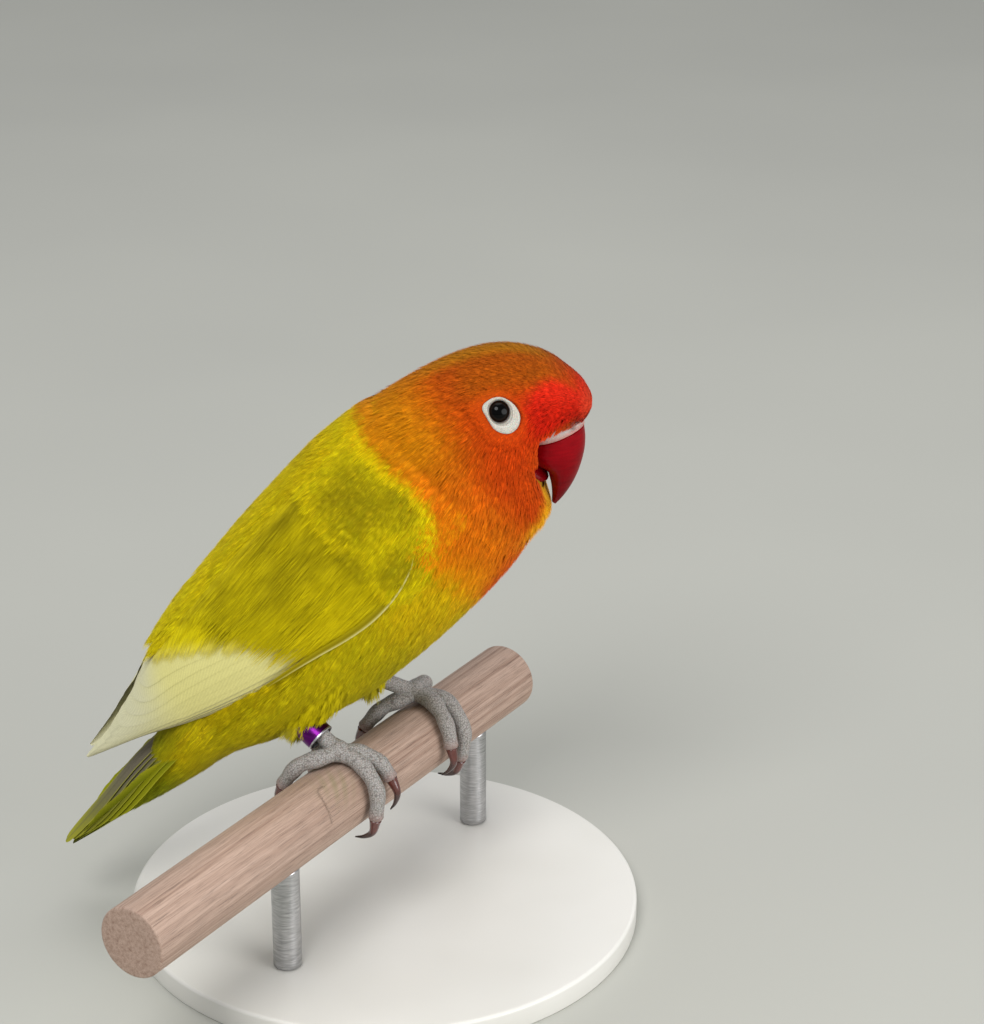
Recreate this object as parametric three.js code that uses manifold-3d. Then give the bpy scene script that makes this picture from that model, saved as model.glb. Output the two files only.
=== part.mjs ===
// A lovebird with a bare white ring round each eye and a leg ring, gripping a round wooden perch
// that two short rods hold above a disc-shaped display base. Millimetres, +Z up. The bird faces +X,
// its left side is +Y, and the origin is the middle of the base's underside.
import * as THREE from 'three';
import { mergeVertices } from 'three/addons/utils/BufferGeometryUtils.js';
import Module from 'manifold-3d';

const wasm = await Module();
wasm.setup();

// Driving dimensions: the stand and the perch
const gap = 0.3;
const sliver = 0.02;
const degree = Math.PI / 180;
const baseRadius = 55;
const baseThickness = 5;
const baseBevel = 0.8;
const perchRadius = 7.5;
const perchNearEnd = -85;
const perchFarEnd = 50;
const perchHeight = 36;
const perchYaw = 32 * degree;
const rodRadius = 3;
const rodPlaces = { stand_rod_near: -36, stand_rod_far: 36 };

// Driving dimensions: the body, as stations from the undertail coverts to the forehead.
// Each row is centre x, centre z, reach up, reach down and half width, with z from the perch's axis.
const bodyStations = [
  [-56.5, -10.5, 1.2, 1.4, 2.8],
  [-50, -4.6, 3.8, 3.4, 5.2],
  [-43.5, 2.4, 6.6, 5.8, 7.8],
  [-37, 9.8, 10, 8, 10.8],
  [-32, 16, 13.2, 13, 13.6],
  [-25.5, 24, 16, 17.4, 16.6],
  [-17.5, 33, 19, 21.3, 18.8],
  [-8, 44, 21.5, 23.6, 20],
  [1.5, 55, 22.6, 24.8, 20],
  [10, 65, 21.4, 24.9, 17.8],
  [18, 73.5, 18.8, 22.4, 15.2],
  [26, 79.5, 16.2, 18.5, 13.8],
  [33.5, 81.9, 12.8, 9.6, 10.8],
  [39, 82.4, 7.6, 5.2, 7.6],
  [42.3, 82, 3.7, 3.2, 4.4],
  [43.5, 81.7, 1.3, 1.3, 1.7],
];
const tailCut = 3.1;
const neckCut = 9.25;
const headCut = 10.15;
const seam = 0.027;

// The folded wing's outer face, as stations from its tip to its wrist
const wingStations = [
  [-63.2, 3, 1.7, 2, 3.8],
  [-52, 12, 6.6, 5.6, 8.2],
  [-43, 18.8, 11.6, 9.8, 12.2],
  [-34, 26.2, 15.4, 14.4, 16],
  [-24, 34.8, 18, 18.4, 19],
  [-12, 45.5, 20.4, 22.4, 20.8],
  [0, 56, 22.2, 24.2, 21],
  [9, 65, 21.6, 23.6, 19],
  [16, 72, 19.6, 21, 16.6],
];
const wingCore = { rear: 2.5, front: 7.1, top: 18, bottom: 123, inner: -3.1 };
const wingCoreLift = { rear: -1.6, front: 0.35, from: 2.6, over: 3.8 };
const wingEdges = { top: 20, bottom: 128, from: 3.5, over: 2.5, soft: 9 };
const wristCurve = { setBack: 0.5, middle: 72, half: 42 };
// The room round a folded wing: how far it runs past the wing each way
const wingSpace = { tail: -0.4, front: 0.1, ridge: -2, mantle: 4, from: 3, above: 6, below: 0.15 };

// Vane tiers of one wing, from the primaries up to the lesser coverts. roots and tips give the
// station and the angle from the back's ridge of the first and the last vane, lowest vane first.
const vaneThickness = 0.6;
const vaneTilt = 0.45;
const vaneTip = { start: 0.7, length: 0.32 };
const wingTiers = [
  { count: 8, rows: 4, sink: 0, halfWidth: [3.8, 4.8], lift: -1.15,
    roots: [[5.6, 120], [3.6, 58]], tips: [[0.05, 100], [1.7, 20]] },
  { count: 7, rows: 4, sink: 0, halfWidth: [4.0, 5.4], lift: -0.7,
    roots: [[6.0, 108], [4.2, 28]], tips: [[4.15, 114], [1.85, 10]] },
  { count: 6, rows: 3, sink: 0, halfWidth: [4.4, 5.6], lift: -0.3,
    roots: [[6.3, 106], [5.2, 28]], tips: [[4.95, 112], [3.1, 14]] },
  { count: 6, rows: 3, sink: 0.3, halfWidth: [4.3, 5.4], lift: 0.05,
    roots: [[6.7, 106], [5.95, 38]], tips: [[5.65, 112], [4.2, 20]] },
  { count: 5, rows: 3, sink: 1.1, halfWidth: [4.8, 5.8], lift: 0.35,
    roots: [[6.95, 102], [6.6, 44]], tips: [[6.25, 108], [5.3, 30]] },
];

// The tail: six feathers a side under a roof-shaped ridge line
const tailRidge = [[-39.8, 12.3], [-45.5, 8.5], [-53, 1], [-61, -9], [-69, -18.4]];
const tailPairs = 6;
const tailMiddle = 0.7;
const tailFan = [0.8, 1.15];
const tailAsideDrop = 0.2;
const tailSpread = 1.1;
const tailHalfWidth = 3;
const tailRoof = 0.02;
const tailStep = 0.32;
const tailTwist = 0.12;
const tailShorten = 0.065;

// The head's furniture
const eyePlace = { station: 11.15, angle: 68.6 };
const eyeRadius = 3.2;
const eyeDepth = 2.75;
const lid = { radius: 3.15, thickness: 0.85, long: 1.12, flat: 0.8, turn: 30, raise: 0.1 };
const billSections = [
  { ridge: [42.1, 77.9], edge: [30.2, 74.4], half: 6.1 },
  { ridge: [42.4, 75.2], edge: [30, 72], half: 6 },
  { ridge: [42.2, 72.2], edge: [31.4, 70.2], half: 5.5 },
  { ridge: [41.3, 68.6], edge: [34.3, 68.5], half: 4.4 },
  { ridge: [39.9, 65.2], edge: [35.3, 66.0], half: 3.1 },
  { ridge: [38.1, 62.3], edge: [35.7, 63.3], half: 1.8 },
  { ridge: [36.5, 60.4], edge: [35.7, 61.0], half: 0.5 },
];
const cereSections = [
  { ridge: [40.6, 80.9], edge: [29.6, 77.4], half: 6.3 },
  { ridge: [42.2, 78.3], edge: [30.2, 74.8], half: 6.5 },
];
const lowerBillSections = [
  { ridge: [31.2, 71.8], edge: [27.6, 67.2], half: 4.4 },
  { ridge: [33.4, 69.5], edge: [30.4, 65.9], half: 4.0 },
  { ridge: [34.6, 67.8], edge: [32.9, 65.8], half: 3.0 },
  { ridge: [35.0, 66.6], edge: [34.2, 65.9], half: 1.6 },
];
// Where the face's feathers stop round the bill, as an outline at the bill's side
const faceOpening = [[31.9, 69.8], [32.9, 71.2], [32.8, 73.6], [33.2, 75.6], [34.7, 77], [38.5, 78.9],
  [41.7, 79.8], [47, 80.4], [47, 58], [36, 58.6], [35.15, 61.5], [34.9, 64], [34, 66.1], [32.5, 67.6]];
const faceSide = 4.6;
const faceSlope = 0.42;
const faceReach = 14;
const billEgg = 0.18;
const nostril = { radius: 0.75, along: 0.55, angle: 48, out: 0.5, aside: 0.86, rise: 1 };

// Legs: the heel and the foot of each side, and where each toe lies on the perch.
// A toe's points are place along the perch, and angle round it from its top, front side positive.
const thighHem = 3;
const thighRadius = 5.8;
const thighTaper = 0.42;
const tarsusRadius = 1.75;
const ankleLength = 4.2;
const palmRise = 2.5;
const padRadius = 2.4;
const toe = { radius: 1.95, taper: 0.16, swell: 0.05, rise: 0.1, baseRise: 0.35, tip: 0.4 };
// A claw's turn round the perch, its radii, how far out it runs, bows and dips, and how far it may drift
const claw = { turn: 42, start: 3.4, base: 1.3, tip: 0.18, out: 1.75, bow: 1.5, dip: 0.9, drift: 1.2 };
const legs = {
  right: {
    heel: [-16.8, -9, 16.4],
    thighBack: [-8, -10.5, 30],
    foot: [-16.2, 0],
    toes: [
      [[-13.4, -18], [-12, -50], [-11.6, -86]],
      [[-12.9, 20], [-11, 44], [-10.2, 68]],
      [[-15.6, 32], [-15.8, 70], [-16.6, 108]],
      [[-19.6, -12], [-22.4, -36], [-23.4, -74]],
    ],
  },
  left: {
    heel: [-3.6, 11.2, 15.8],
    thighBack: [-1, 10.5, 31],
    foot: [15.4, -11],
    toes: [
      [[13.6, -16], [9.6, -42], [6.4, -72]],
      [[14.4, 24], [12.8, 56], [12, 84]],
      [[17.8, 30], [17.4, 74], [16.6, 114]],
      [[21.4, -20], [24, -56], [25.6, -92]],
    ],
  },
};
const ring = { inner: 2.75, outer: 3.2, length: 5, along: 0.62, room: 3 };

// Rows of a station list are joined by a uniform Catmull-Rom curve
function sample(stations, t) {
  const last = stations.length - 1;
  const i = Math.min(Math.max(Math.floor(t), 0), last - 1);
  const f = t - i;
  const p0 = stations[Math.max(i - 1, 0)];
  const p1 = stations[i];
  const p2 = stations[i + 1];
  const p3 = stations[Math.min(i + 2, last)];
  return p1.map((value, k) => 0.5 * (2 * value + (p2[k] - p0[k]) * f
    + (2 * p0[k] - 5 * value + 4 * p2[k] - p3[k]) * f * f
    + (3 * value - p0[k] - 3 * p2[k] + p3[k]) * f * f * f));
}

// A point of a lofted skin: angle 0 is the back's ridge, and +90 degrees the left side
function skinPoint(stations, t, angle, lift = 0) {
  const [x, z, up, down, half] = sample(stations, t);
  const [x0, z0] = sample(stations, t - 0.01);
  const [x1, z1] = sample(stations, t + 0.01);
  const length = Math.hypot(x1 - x0, z1 - z0);
  const c = Math.cos(angle * degree);
  const reach = ((c > 0 ? up : down) + lift) * c;
  return new THREE.Vector3(
    x - (reach * (z1 - z0)) / length,
    (half + lift) * Math.sin(angle * degree),
    z + (reach * (x1 - x0)) / length,
  );
}

// A closed mesh from shared points and triangles, turned to face outwards
function closedMesh(points, triangles) {
  let volume = 0;
  for (const [a, b, c] of triangles) {
    volume += points[a].dot(new THREE.Vector3().crossVectors(points[b], points[c]));
  }
  const index = triangles.flatMap(([a, b, c]) => (volume < 0 ? [a, c, b] : [a, b, c]));
  const geometry = new THREE.BufferGeometry();
  const values = points.flatMap((p) => [p.x, p.y, p.z]);
  geometry.setAttribute('position', new THREE.Float32BufferAttribute(values, 3));
  geometry.setIndex(index);
  return geometry;
}

// Rings of equal count joined side by side, with a fan over each end
function loft(rings) {
  const sides = rings[0].length;
  const points = rings.flat();
  const triangles = [];
  for (let i = 0; i + 1 < rings.length; i += 1) {
    for (let j = 0; j < sides; j += 1) {
      const a = i * sides + j;
      const b = i * sides + ((j + 1) % sides);
      triangles.push([a, b, a + sides], [b, b + sides, a + sides]);
    }
  }
  for (const end of [0, rings.length - 1]) {
    const middle = new THREE.Vector3();
    rings[end].forEach((p) => middle.add(p));
    points.push(middle.divideScalar(sides));
    for (let j = 0; j < sides; j += 1) {
      const a = end * sides + j;
      const b = end * sides + ((j + 1) % sides);
      triangles.push(end === 0 ? [b, a, points.length - 1] : [a, b, points.length - 1]);
    }
  }
  return closedMesh(points, triangles);
}

// A thin plate between two sheets of points, split into triangles alike on both faces
function plate(rows, columns, topAt, bottomAt) {
  const points = [];
  const triangles = [];
  for (const at of [topAt, bottomAt]) {
    for (let i = 0; i <= rows; i += 1) {
      for (let j = 0; j <= columns; j += 1) {
        points.push(at(i / rows, j / columns));
      }
    }
  }
  const under = (rows + 1) * (columns + 1);
  const id = (i, j) => i * (columns + 1) + j;
  const wall = (a, b) => triangles.push([a, b, b + under], [a, b + under, a + under]);
  for (let i = 0; i < rows; i += 1) {
    for (let j = 0; j < columns; j += 1) {
      const [a, b, c, d] = [id(i, j), id(i + 1, j), id(i + 1, j + 1), id(i, j + 1)];
      triangles.push([a, b, c], [a, c, d]);
      triangles.push([a + under, c + under, b + under], [a + under, d + under, c + under]);
    }
    wall(id(i + 1, 0), id(i, 0));
    wall(id(i, columns), id(i + 1, columns));
  }
  for (let j = 0; j < columns; j += 1) {
    wall(id(0, j), id(0, j + 1));
    wall(id(rows, j + 1), id(rows, j));
  }
  return closedMesh(points, triangles);
}

// A tube of changing radius along a smooth path through hand-picked points
function taperedTube(places, radiusAt, steps, sides) {
  const curve = new THREE.CatmullRomCurve3(places, false, 'centripetal');
  const frames = curve.computeFrenetFrames(steps, false);
  const rings = [];
  for (let i = 0; i <= steps; i += 1) {
    const centre = curve.getPointAt(i / steps);
    const radius = radiusAt(i / steps);
    rings.push(Array.from({ length: sides }, (_, j) => {
      const turn = (2 * Math.PI * j) / sides;
      return centre.clone()
        .addScaledVector(frames.normals[i], radius * Math.cos(turn))
        .addScaledVector(frames.binormals[i], radius * Math.sin(turn));
    }));
  }
  return loft(rings);
}

function toSolid(geometry) {
  const bare = geometry.clone();
  bare.deleteAttribute('normal');
  bare.deleteAttribute('uv');
  const merged = mergeVertices(bare, 1e-3);
  return new wasm.Manifold(new wasm.Mesh({
    numProp: 3,
    vertProperties: new Float32Array(merged.attributes.position.array),
    triVerts: new Uint32Array(merged.index.array),
  }));
}

// The largest closed surface of a solid, so that loose scraps and sealed hollows go
function largestSurface(solid) {
  return solid.decompose().reduce((a, b) => (b.volume() > a.volume() ? b : a));
}

function toGeometry(solid) {
  const mesh = solid.getMesh();
  const geometry = new THREE.BufferGeometry();
  geometry.setAttribute('position', new THREE.BufferAttribute(mesh.vertProperties, 3));
  geometry.setIndex(new THREE.BufferAttribute(mesh.triVerts, 1));
  return geometry;
}

// Slivers are merged away first, and what they sealed off goes with them
function fromSolid(solid) {
  const simple = largestSurface(largestSurface(solid).simplify(sliver));
  return toGeometry(largestSurface(toSolid(toGeometry(simple))));
}

function join(geometries) {
  return geometries.map(toSolid).reduce((a, b) => a.add(b));
}

function cut(solid, geometries) {
  return geometries.map(toSolid).reduce((a, b) => a.subtract(b), solid);
}

const vector = ([x, y, z]) => new THREE.Vector3(x, y, z);
const mix = (a, b, s) => a + (b - a) * s;
const share = (value, from, over) => Math.min(Math.max((value - from) / over, 0), 1);
const sideSign = { right: -1, left: 1 };

// Places on the perch: along it, round it from its top, and out from its axis
const perchAlong = new THREE.Vector3(Math.sin(perchYaw), Math.cos(perchYaw), 0);
const perchAcross = new THREE.Vector3(Math.cos(perchYaw), -Math.sin(perchYaw), 0);
function onPerch(along, angle, out) {
  return perchAlong.clone().multiplyScalar(along)
    .addScaledVector(perchAcross, out * Math.sin(angle * degree))
    .add(new THREE.Vector3(0, 0, out * Math.cos(angle * degree)));
}

// A length of the body between two stations, ending in flat faces square to its line
function bodyLength(from, to, steps, sides, lift = 0) {
  return loft(Array.from({ length: steps + 1 }, (_, i) => (
    Array.from({ length: sides }, (__, j) => (
      skinPoint(bodyStations, mix(from, to, i / steps), (360 * j) / sides, lift))))));
}

// The room that a folded wing takes out of the body, with the gap round it.
// Towards the tail it reaches the ridge, where the two wings meet, and further forward it
// leaves the mantle between them.
function wingRoom(side) {
  const at = (lift) => (s, v) => {
    const t = mix(wingSpace.tail, wingCore.front + wingSpace.front, s);
    const top = mix(wingSpace.ridge, wingEdges.top - wingSpace.mantle, share(t, wingSpace.from, wingEdges.over));
    return skinPoint(wingStations, t, sideSign[side] * mix(top, wingEdges.bottom + 1, v), lift);
  };
  return plate(9, 7, at(wingSpace.above), at(wingCore.inner - gap - wingSpace.below));
}

// Vanes are squeezed as they near the ridge, or the wing's lower edge, and never cross it
function squeezed(t, angle) {
  const half = sample(wingStations, t)[4];
  const forward = (t - wingEdges.from) / wingEdges.over;
  const top = Math.max(Math.asin(0.5 / half) / degree, wingEdges.top * forward);
  const { soft } = wingEdges;
  if (angle < top + soft) return top + soft * Math.exp((angle - top - soft) / soft);
  if (angle > wingEdges.bottom - soft) {
    return wingEdges.bottom - soft * Math.exp((wingEdges.bottom - soft - angle) / soft);
  }
  return angle;
}

// The front edge of the wing is rounded, furthest forward at mid height
function wingFront(angle) {
  return wingCore.front - wristCurve.setBack * ((angle - wristCurve.middle) / wristCurve.half) ** 2;
}

function wingCorePlate(side) {
  const { rear, front, from, over } = wingCoreLift;
  const outerLift = (t) => mix(rear, front, share(t, from, over));
  const at = (inner) => (s, v) => {
    const angle = mix(wingCore.top, wingCore.bottom, v);
    const t = mix(wingCore.rear, wingFront(angle), s);
    const lift = inner ? wingCore.inner : outerLift(t);
    return skinPoint(wingStations, t, sideSign[side] * angle, lift);
  };
  return plate(7, 7, at(false), at(true));
}

// Half the width of a vane along its length, narrow at the root and rounded at the tip
function vaneOutline(s) {
  const { start, length } = vaneTip;
  return s < start ? mix(start, 1, s / start) : Math.sqrt(1 - ((s - start) / length) ** 2);
}

// Rows of a vane's points stand closer together towards its tip
function towardsTip(s) {
  return s < 0.6 ? s * 1.1 : mix(0.66, 1, (s - 0.6) / 0.4);
}

// One vane lying on the wing's face; its lower edge stands over the vane below it
function wingVane(side, root, tip, halfWidth, tier) {
  const face = (t, angle, up) => skinPoint(wingStations, t, sideSign[side] * angle, up);
  const at = (drop) => (s, v) => {
    const along = towardsTip(s);
    const t = mix(root[0], tip[0], along);
    const angle = mix(root[1], tip[1], along);
    const here = face(t, angle, 0);
    const byStation = face(t + 0.02, angle, 0).sub(here).divideScalar(0.02);
    const byAngle = face(t, angle + 0.5, 0).sub(here).divideScalar(0.5);
    const course = byStation.clone().multiplyScalar(tip[0] - root[0])
      .addScaledVector(byAngle, tip[1] - root[1]).normalize();
    const outward = new THREE.Vector3().crossVectors(byStation, byAngle).normalize();
    const across = new THREE.Vector3().crossVectors(outward, course);
    if (across.dot(byAngle) < 0) across.negate();
    const q = (2 * v - 1) * halfWidth * vaneOutline(along);
    const e = byStation.lengthSq();
    const f = byStation.dot(byAngle);
    const g = byAngle.lengthSq();
    const u = across.dot(byStation);
    const w = across.dot(byAngle);
    const scale = q / (e * g - f * f);
    const raise = tier.lift - tier.sink * (1 - along) ** 2 + (vaneTilt * q) / halfWidth - drop;
    const shifted = t + (u * g - w * f) * scale;
    return face(shifted, squeezed(shifted, angle + (w * e - u * f) * scale), raise);
  };
  return plate(tier.rows, 2, at(0), at(vaneThickness));
}

function makeWing(side) {
  const pieces = [wingCorePlate(side)];
  for (const tier of wingTiers) {
    for (let k = 0; k < tier.count; k += 1) {
      const s = k / (tier.count - 1);
      const root = tier.roots[0].map((value, i) => mix(value, tier.roots[1][i], s));
      const tip = tier.tips[0].map((value, i) => mix(value, tier.tips[1][i], s));
      const halfWidth = mix(tier.halfWidth[0], tier.halfWidth[1], s);
      pieces.push(wingVane(side, root, tip, halfWidth, tier));
    }
  }
  return fromSolid(join(pieces));
}

// A tail feather under the ridge line: number 0 is next to the middle and longest
function tailVane(side, number) {
  const length = 1 - tailShorten * number;
  const at = (drop) => (s, v) => {
    const along = towardsTip(s);
    const t = along * length * (tailRidge.length - 1);
    const [x, z] = sample(tailRidge, t);
    const [x1, z1] = sample(tailRidge, t - 0.01);
    const scale = Math.hypot(x1 - x, z1 - z);
    const up = [-(z1 - z) / scale, (x1 - x) / scale];
    const centre = (tailMiddle + number * tailSpread) * mix(tailFan[0], tailFan[1], along);
    const lateral = centre + (2 * v - 1) * tailHalfWidth * vaneOutline(along);
    const fall = tailRoof * lateral * lateral + tailStep * number + drop
      - tailTwist * sideSign[side] * lateral + (side === 'left' ? tailAsideDrop : 0);
    return new THREE.Vector3(x - up[0] * fall, sideSign[side] * lateral, z - up[1] * fall);
  };
  return plate(5, 2, at(0), at(vaneThickness));
}

function makeTail() {
  const pieces = [bodyLength(0, tailCut, 6, 18)];
  for (const side of ['right', 'left']) {
    for (let number = 0; number < tailPairs; number += 1) {
      pieces.push(tailVane(side, number));
    }
  }
  return fromSolid(cut(join(pieces), [wingRoom('right'), wingRoom('left')]));
}

// The feathered thigh, from round the heel up into the belly
function thighShape(leg, lift) {
  const heel = vector(leg.heel);
  const back = vector(leg.thighBack);
  const course = back.clone().sub(heel).normalize();
  const hem = heel.addScaledVector(course, -thighHem - lift);
  back.addScaledVector(course, lift);
  const radius = (s) => thighRadius * mix(thighTaper, 1, Math.sin(Math.min(s * 1.6, 1) * Math.PI * 0.5));
  return taperedTube([hem, hem.clone().lerp(back, 0.5), back], (s) => radius(s) + lift, 6, 14);
}

// The palm's middle, and the line of the shank from it up to the heel
function legLine(leg) {
  const palm = onPerch(leg.foot[0], leg.foot[1], perchRadius + gap + palmRise);
  const heel = vector(leg.heel);
  return { palm, heel, up: heel.clone().sub(palm).normalize() };
}

function tarsusShape(leg, lift) {
  const { palm, heel, up } = legLine(leg);
  const start = palm.clone().addScaledVector(up, ankleLength + gap - lift);
  const end = heel.clone().addScaledVector(up, lift);
  const middle = start.clone().lerp(end, 0.5);
  return taperedTube([start, middle, end], () => tarsusRadius + lift, 3, 12);
}

function makeThigh(side) {
  const rooms = [tarsusShape(legs[side], gap), wingRoom(side)];
  if (side === 'right') rooms.push(ringRoom(legs.right));
  return fromSolid(cut(toSolid(thighShape(legs[side], 0)), rooms));
}

// The path of one toe from the palm, then out to its tip
function toePath(leg, line) {
  const out = perchRadius + gap + toe.radius + toe.rise;
  return [onPerch(leg.foot[0], leg.foot[1], out + toe.baseRise)]
    .concat(line.map(([along, angle]) => onPerch(along, angle, out)));
}

function toeTube(leg, line, lift) {
  const path = toePath(leg, line);
  const [before, end] = path.slice(-2);
  path.push(end.clone().addScaledVector(end.clone().sub(before).normalize(), toe.tip + lift));
  const radius = (s) => toe.radius * (1 - toe.taper * s) * (1 + toe.swell * Math.cos(s * 6 * Math.PI));
  return taperedTube(path, (s) => radius(s) + lift, 7, 8);
}

function makeFoot(leg) {
  const { palm, up } = legLine(leg);
  const ankle = palm.clone().addScaledVector(up, ankleLength);
  const pieces = leg.toes.map((line) => toeTube(leg, line, 0));
  const pad = new THREE.SphereGeometry(padRadius, 10, 7);
  pad.translate(palm.x, palm.y, palm.z);
  pieces.push(pad);
  pieces.push(taperedTube([palm, palm.clone().lerp(ankle, 0.5), ankle], () => tarsusRadius, 2, 12));
  return fromSolid(join(pieces));
}

// A claw carries on round the perch from the end of its toe
function makeClaw(leg, line) {
  const [[before], [along, angle]] = line.slice(-2);
  const turn = Math.sign(angle);
  const drift = Math.min(Math.max((along - before) / 6, -claw.drift), claw.drift);
  const out = (s) => perchRadius + gap + claw.out + claw.bow * Math.sin(Math.PI * Math.min(s, 0.8)) - claw.dip * s;
  const places = [0.35, 0.7, 1].map((s) => (
    onPerch(along + drift * s, angle + turn * (claw.start + claw.turn * s), out(s))));
  const tube = taperedTube([toePath(leg, line).at(-1), ...places],
    (s) => mix(claw.base, claw.tip, s ** 0.85), 6, 7);
  return fromSolid(cut(toSolid(tube), [toeTube(leg, line, gap)]));
}

// The leg ring hangs against the upper side of the shank
function ringCentre(leg) {
  const { palm, heel, up } = legLine(leg);
  const sag = new THREE.Vector3(0, 0, -1).addScaledVector(up, up.z).normalize();
  return palm.clone().lerp(heel, ring.along).addScaledVector(sag, ring.inner - tarsusRadius - gap);
}

// The room that the leg ring takes out of the belly feathers
function ringRoom(leg) {
  const { up } = legLine(leg);
  const reach = ring.length / 2;
  const places = [-reach - ring.room, 0, reach + gap].map((h) => ringCentre(leg).addScaledVector(up, h));
  return taperedTube(places, () => ring.outer + gap, 2, 20);
}

function makeLegRing(leg) {
  const { up } = legLine(leg);
  const profile = [[ring.inner, 0], [ring.outer, 0], [ring.outer, ring.length], [ring.inner, ring.length]];
  const points = profile.concat([profile[0]]).map(([r, h]) => new THREE.Vector2(r, h - ring.length / 2));
  const geometry = new THREE.LatheGeometry(points, 28);
  geometry.applyQuaternion(new THREE.Quaternion().setFromUnitVectors(new THREE.Vector3(0, 1, 0), up));
  const centre = ringCentre(leg);
  geometry.translate(centre.x, centre.y, centre.z);
  return geometry;
}

// A bill section is an egg-shaped ring whose broad end is the cutting edge
function billShape(sections, lift, steps, sides = 14) {
  const rows = sections.map(({ ridge, edge, half }) => [...ridge, ...edge, half]);
  const rings = [];
  const count = (rows.length - 1) * steps;
  for (let i = 0; i <= count; i += 1) {
    const [rx, rz, ex, ez, half] = sample(rows, i / steps);
    const reach = Math.hypot(rx - ex, rz - ez) / 2;
    const axis = [(rx - ex) / (2 * reach), (rz - ez) / (2 * reach)];
    rings.push(Array.from({ length: sides }, (_, j) => {
      const turn = (2 * Math.PI * j) / sides;
      const along = Math.cos(turn) * (reach + lift);
      const wide = Math.sin(turn) * (1 - billEgg * Math.cos(turn)) * (half + lift);
      return new THREE.Vector3((rx + ex) / 2 + axis[0] * along, wide, (rz + ez) / 2 + axis[1] * along);
    }));
  }
  return loft(rings);
}

function makeCere() {
  const [rear, front] = cereSections;
  const holes = [-1, 1].map((sign) => {
    const hole = new THREE.SphereGeometry(nostril.radius, 10, 8);
    const turn = nostril.angle * degree;
    const reach = (rear.ridge[0] - rear.edge[0]) / 2 + nostril.out;
    const x = mix(rear.ridge[0] + rear.edge[0], front.ridge[0] + front.edge[0], nostril.along) / 2;
    const z = mix(rear.ridge[1] + rear.edge[1], front.ridge[1] + front.edge[1], nostril.along) / 2;
    const aside = front.half * Math.sin(turn) * nostril.aside;
    hole.translate(x + reach * Math.cos(turn), sign * aside, z + nostril.rise);
    return hole;
  });
  return fromSolid(cut(toSolid(billShape(cereSections, 0, 2)), holes));
}

// The eye's middle and the way it looks, from the head's own surface
function eyeSeat(side) {
  const angle = sideSign[side] * eyePlace.angle;
  const here = skinPoint(bodyStations, eyePlace.station, angle);
  const ahead = skinPoint(bodyStations, eyePlace.station + 0.05, angle).sub(here);
  const round = skinPoint(bodyStations, eyePlace.station, angle + sideSign[side] * 3).sub(here);
  const look = new THREE.Vector3().crossVectors(ahead, round).normalize();
  if (look.y * sideSign[side] < 0) look.negate();
  return { here, look, middle: here.clone().addScaledVector(look, -eyeDepth) };
}

function eyeBall(side, lift) {
  const geometry = new THREE.SphereGeometry(eyeRadius + lift, 14, 10);
  const { middle } = eyeSeat(side);
  geometry.translate(middle.x, middle.y, middle.z);
  return geometry;
}

// The bare lids: a raised oval ring round the eye
function lidRing(side) {
  const { here, look } = eyeSeat(side);
  const geometry = new THREE.TorusGeometry(lid.radius, lid.thickness, 6, 16);
  geometry.scale(lid.long, 1, lid.flat);
  geometry.rotateZ(lid.turn * degree * sideSign[side]);
  geometry.applyQuaternion(new THREE.Quaternion().setFromUnitVectors(new THREE.Vector3(0, 0, 1), look));
  const middle = here.addScaledVector(look, lid.raise);
  geometry.translate(middle.x, middle.y, middle.z);
  return geometry;
}

// The opening climbs as it runs out over the cheeks
function faceRoom() {
  return loft([-faceReach, -faceSide, faceSide, faceReach].map((y) => faceOpening.map(([x, z]) => (
    new THREE.Vector3(x, y, z + faceSlope * (Math.abs(y) - faceSide))))));
}

function makeHead() {
  const whole = join([bodyLength(headCut, bodyStations.length - 1, 11, 22), lidRing('right'), lidRing('left')]);
  return fromSolid(cut(whole, [
    eyeBall('right', gap), eyeBall('left', gap),
    billShape(billSections, gap, 1), billShape(lowerBillSections, gap, 1, 12),
    billShape(cereSections, gap, 1), billShape([cereSections[1], billSections[0]], gap, 1),
    faceRoom(),
  ]));
}

function makeTorso() {
  const cuts = [wingRoom('right'), wingRoom('left'),
    thighShape(legs.right, gap), thighShape(legs.left, gap),
    tarsusShape(legs.right, gap), tarsusShape(legs.left, gap), ringRoom(legs.right)];
  return fromSolid(cut(toSolid(bodyLength(tailCut + 1.3 * seam, neckCut, 10, 22)), cuts));
}

function makeNeck() {
  return bodyLength(neckCut + seam, headCut - seam, 2, 22);
}

function makePerch() {
  const geometry = new THREE.CylinderGeometry(perchRadius, perchRadius, perchFarEnd - perchNearEnd, 40);
  geometry.translate(0, (perchFarEnd + perchNearEnd) / 2, 0);
  geometry.rotateZ(-perchYaw);
  return geometry;
}

function makeBase() {
  const outline = [[0, 0], [baseRadius, 0], [baseRadius, baseThickness - baseBevel],
    [baseRadius - baseBevel, baseThickness], [0, baseThickness]];
  const geometry = new THREE.LatheGeometry(outline.map(([r, h]) => new THREE.Vector2(r, h)), 48);
  geometry.rotateX(Math.PI / 2);
  geometry.translate(0, 0, -perchHeight);
  return geometry;
}

// A rod stands on the base and is hollowed at its top to the perch's round
function makeRod(along) {
  const bottom = -perchHeight + baseThickness + gap;
  const rod = new THREE.CylinderGeometry(rodRadius, rodRadius, -bottom, 24);
  rod.rotateX(Math.PI / 2);
  const foot = onPerch(along, 0, 0);
  rod.translate(foot.x, foot.y, bottom / 2);
  const round = new THREE.CylinderGeometry(perchRadius + gap, perchRadius + gap, 40, 40);
  round.rotateZ(-perchYaw);
  round.translate(foot.x, foot.y, 0);
  return fromSolid(cut(toSolid(rod), [round]));
}

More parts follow.
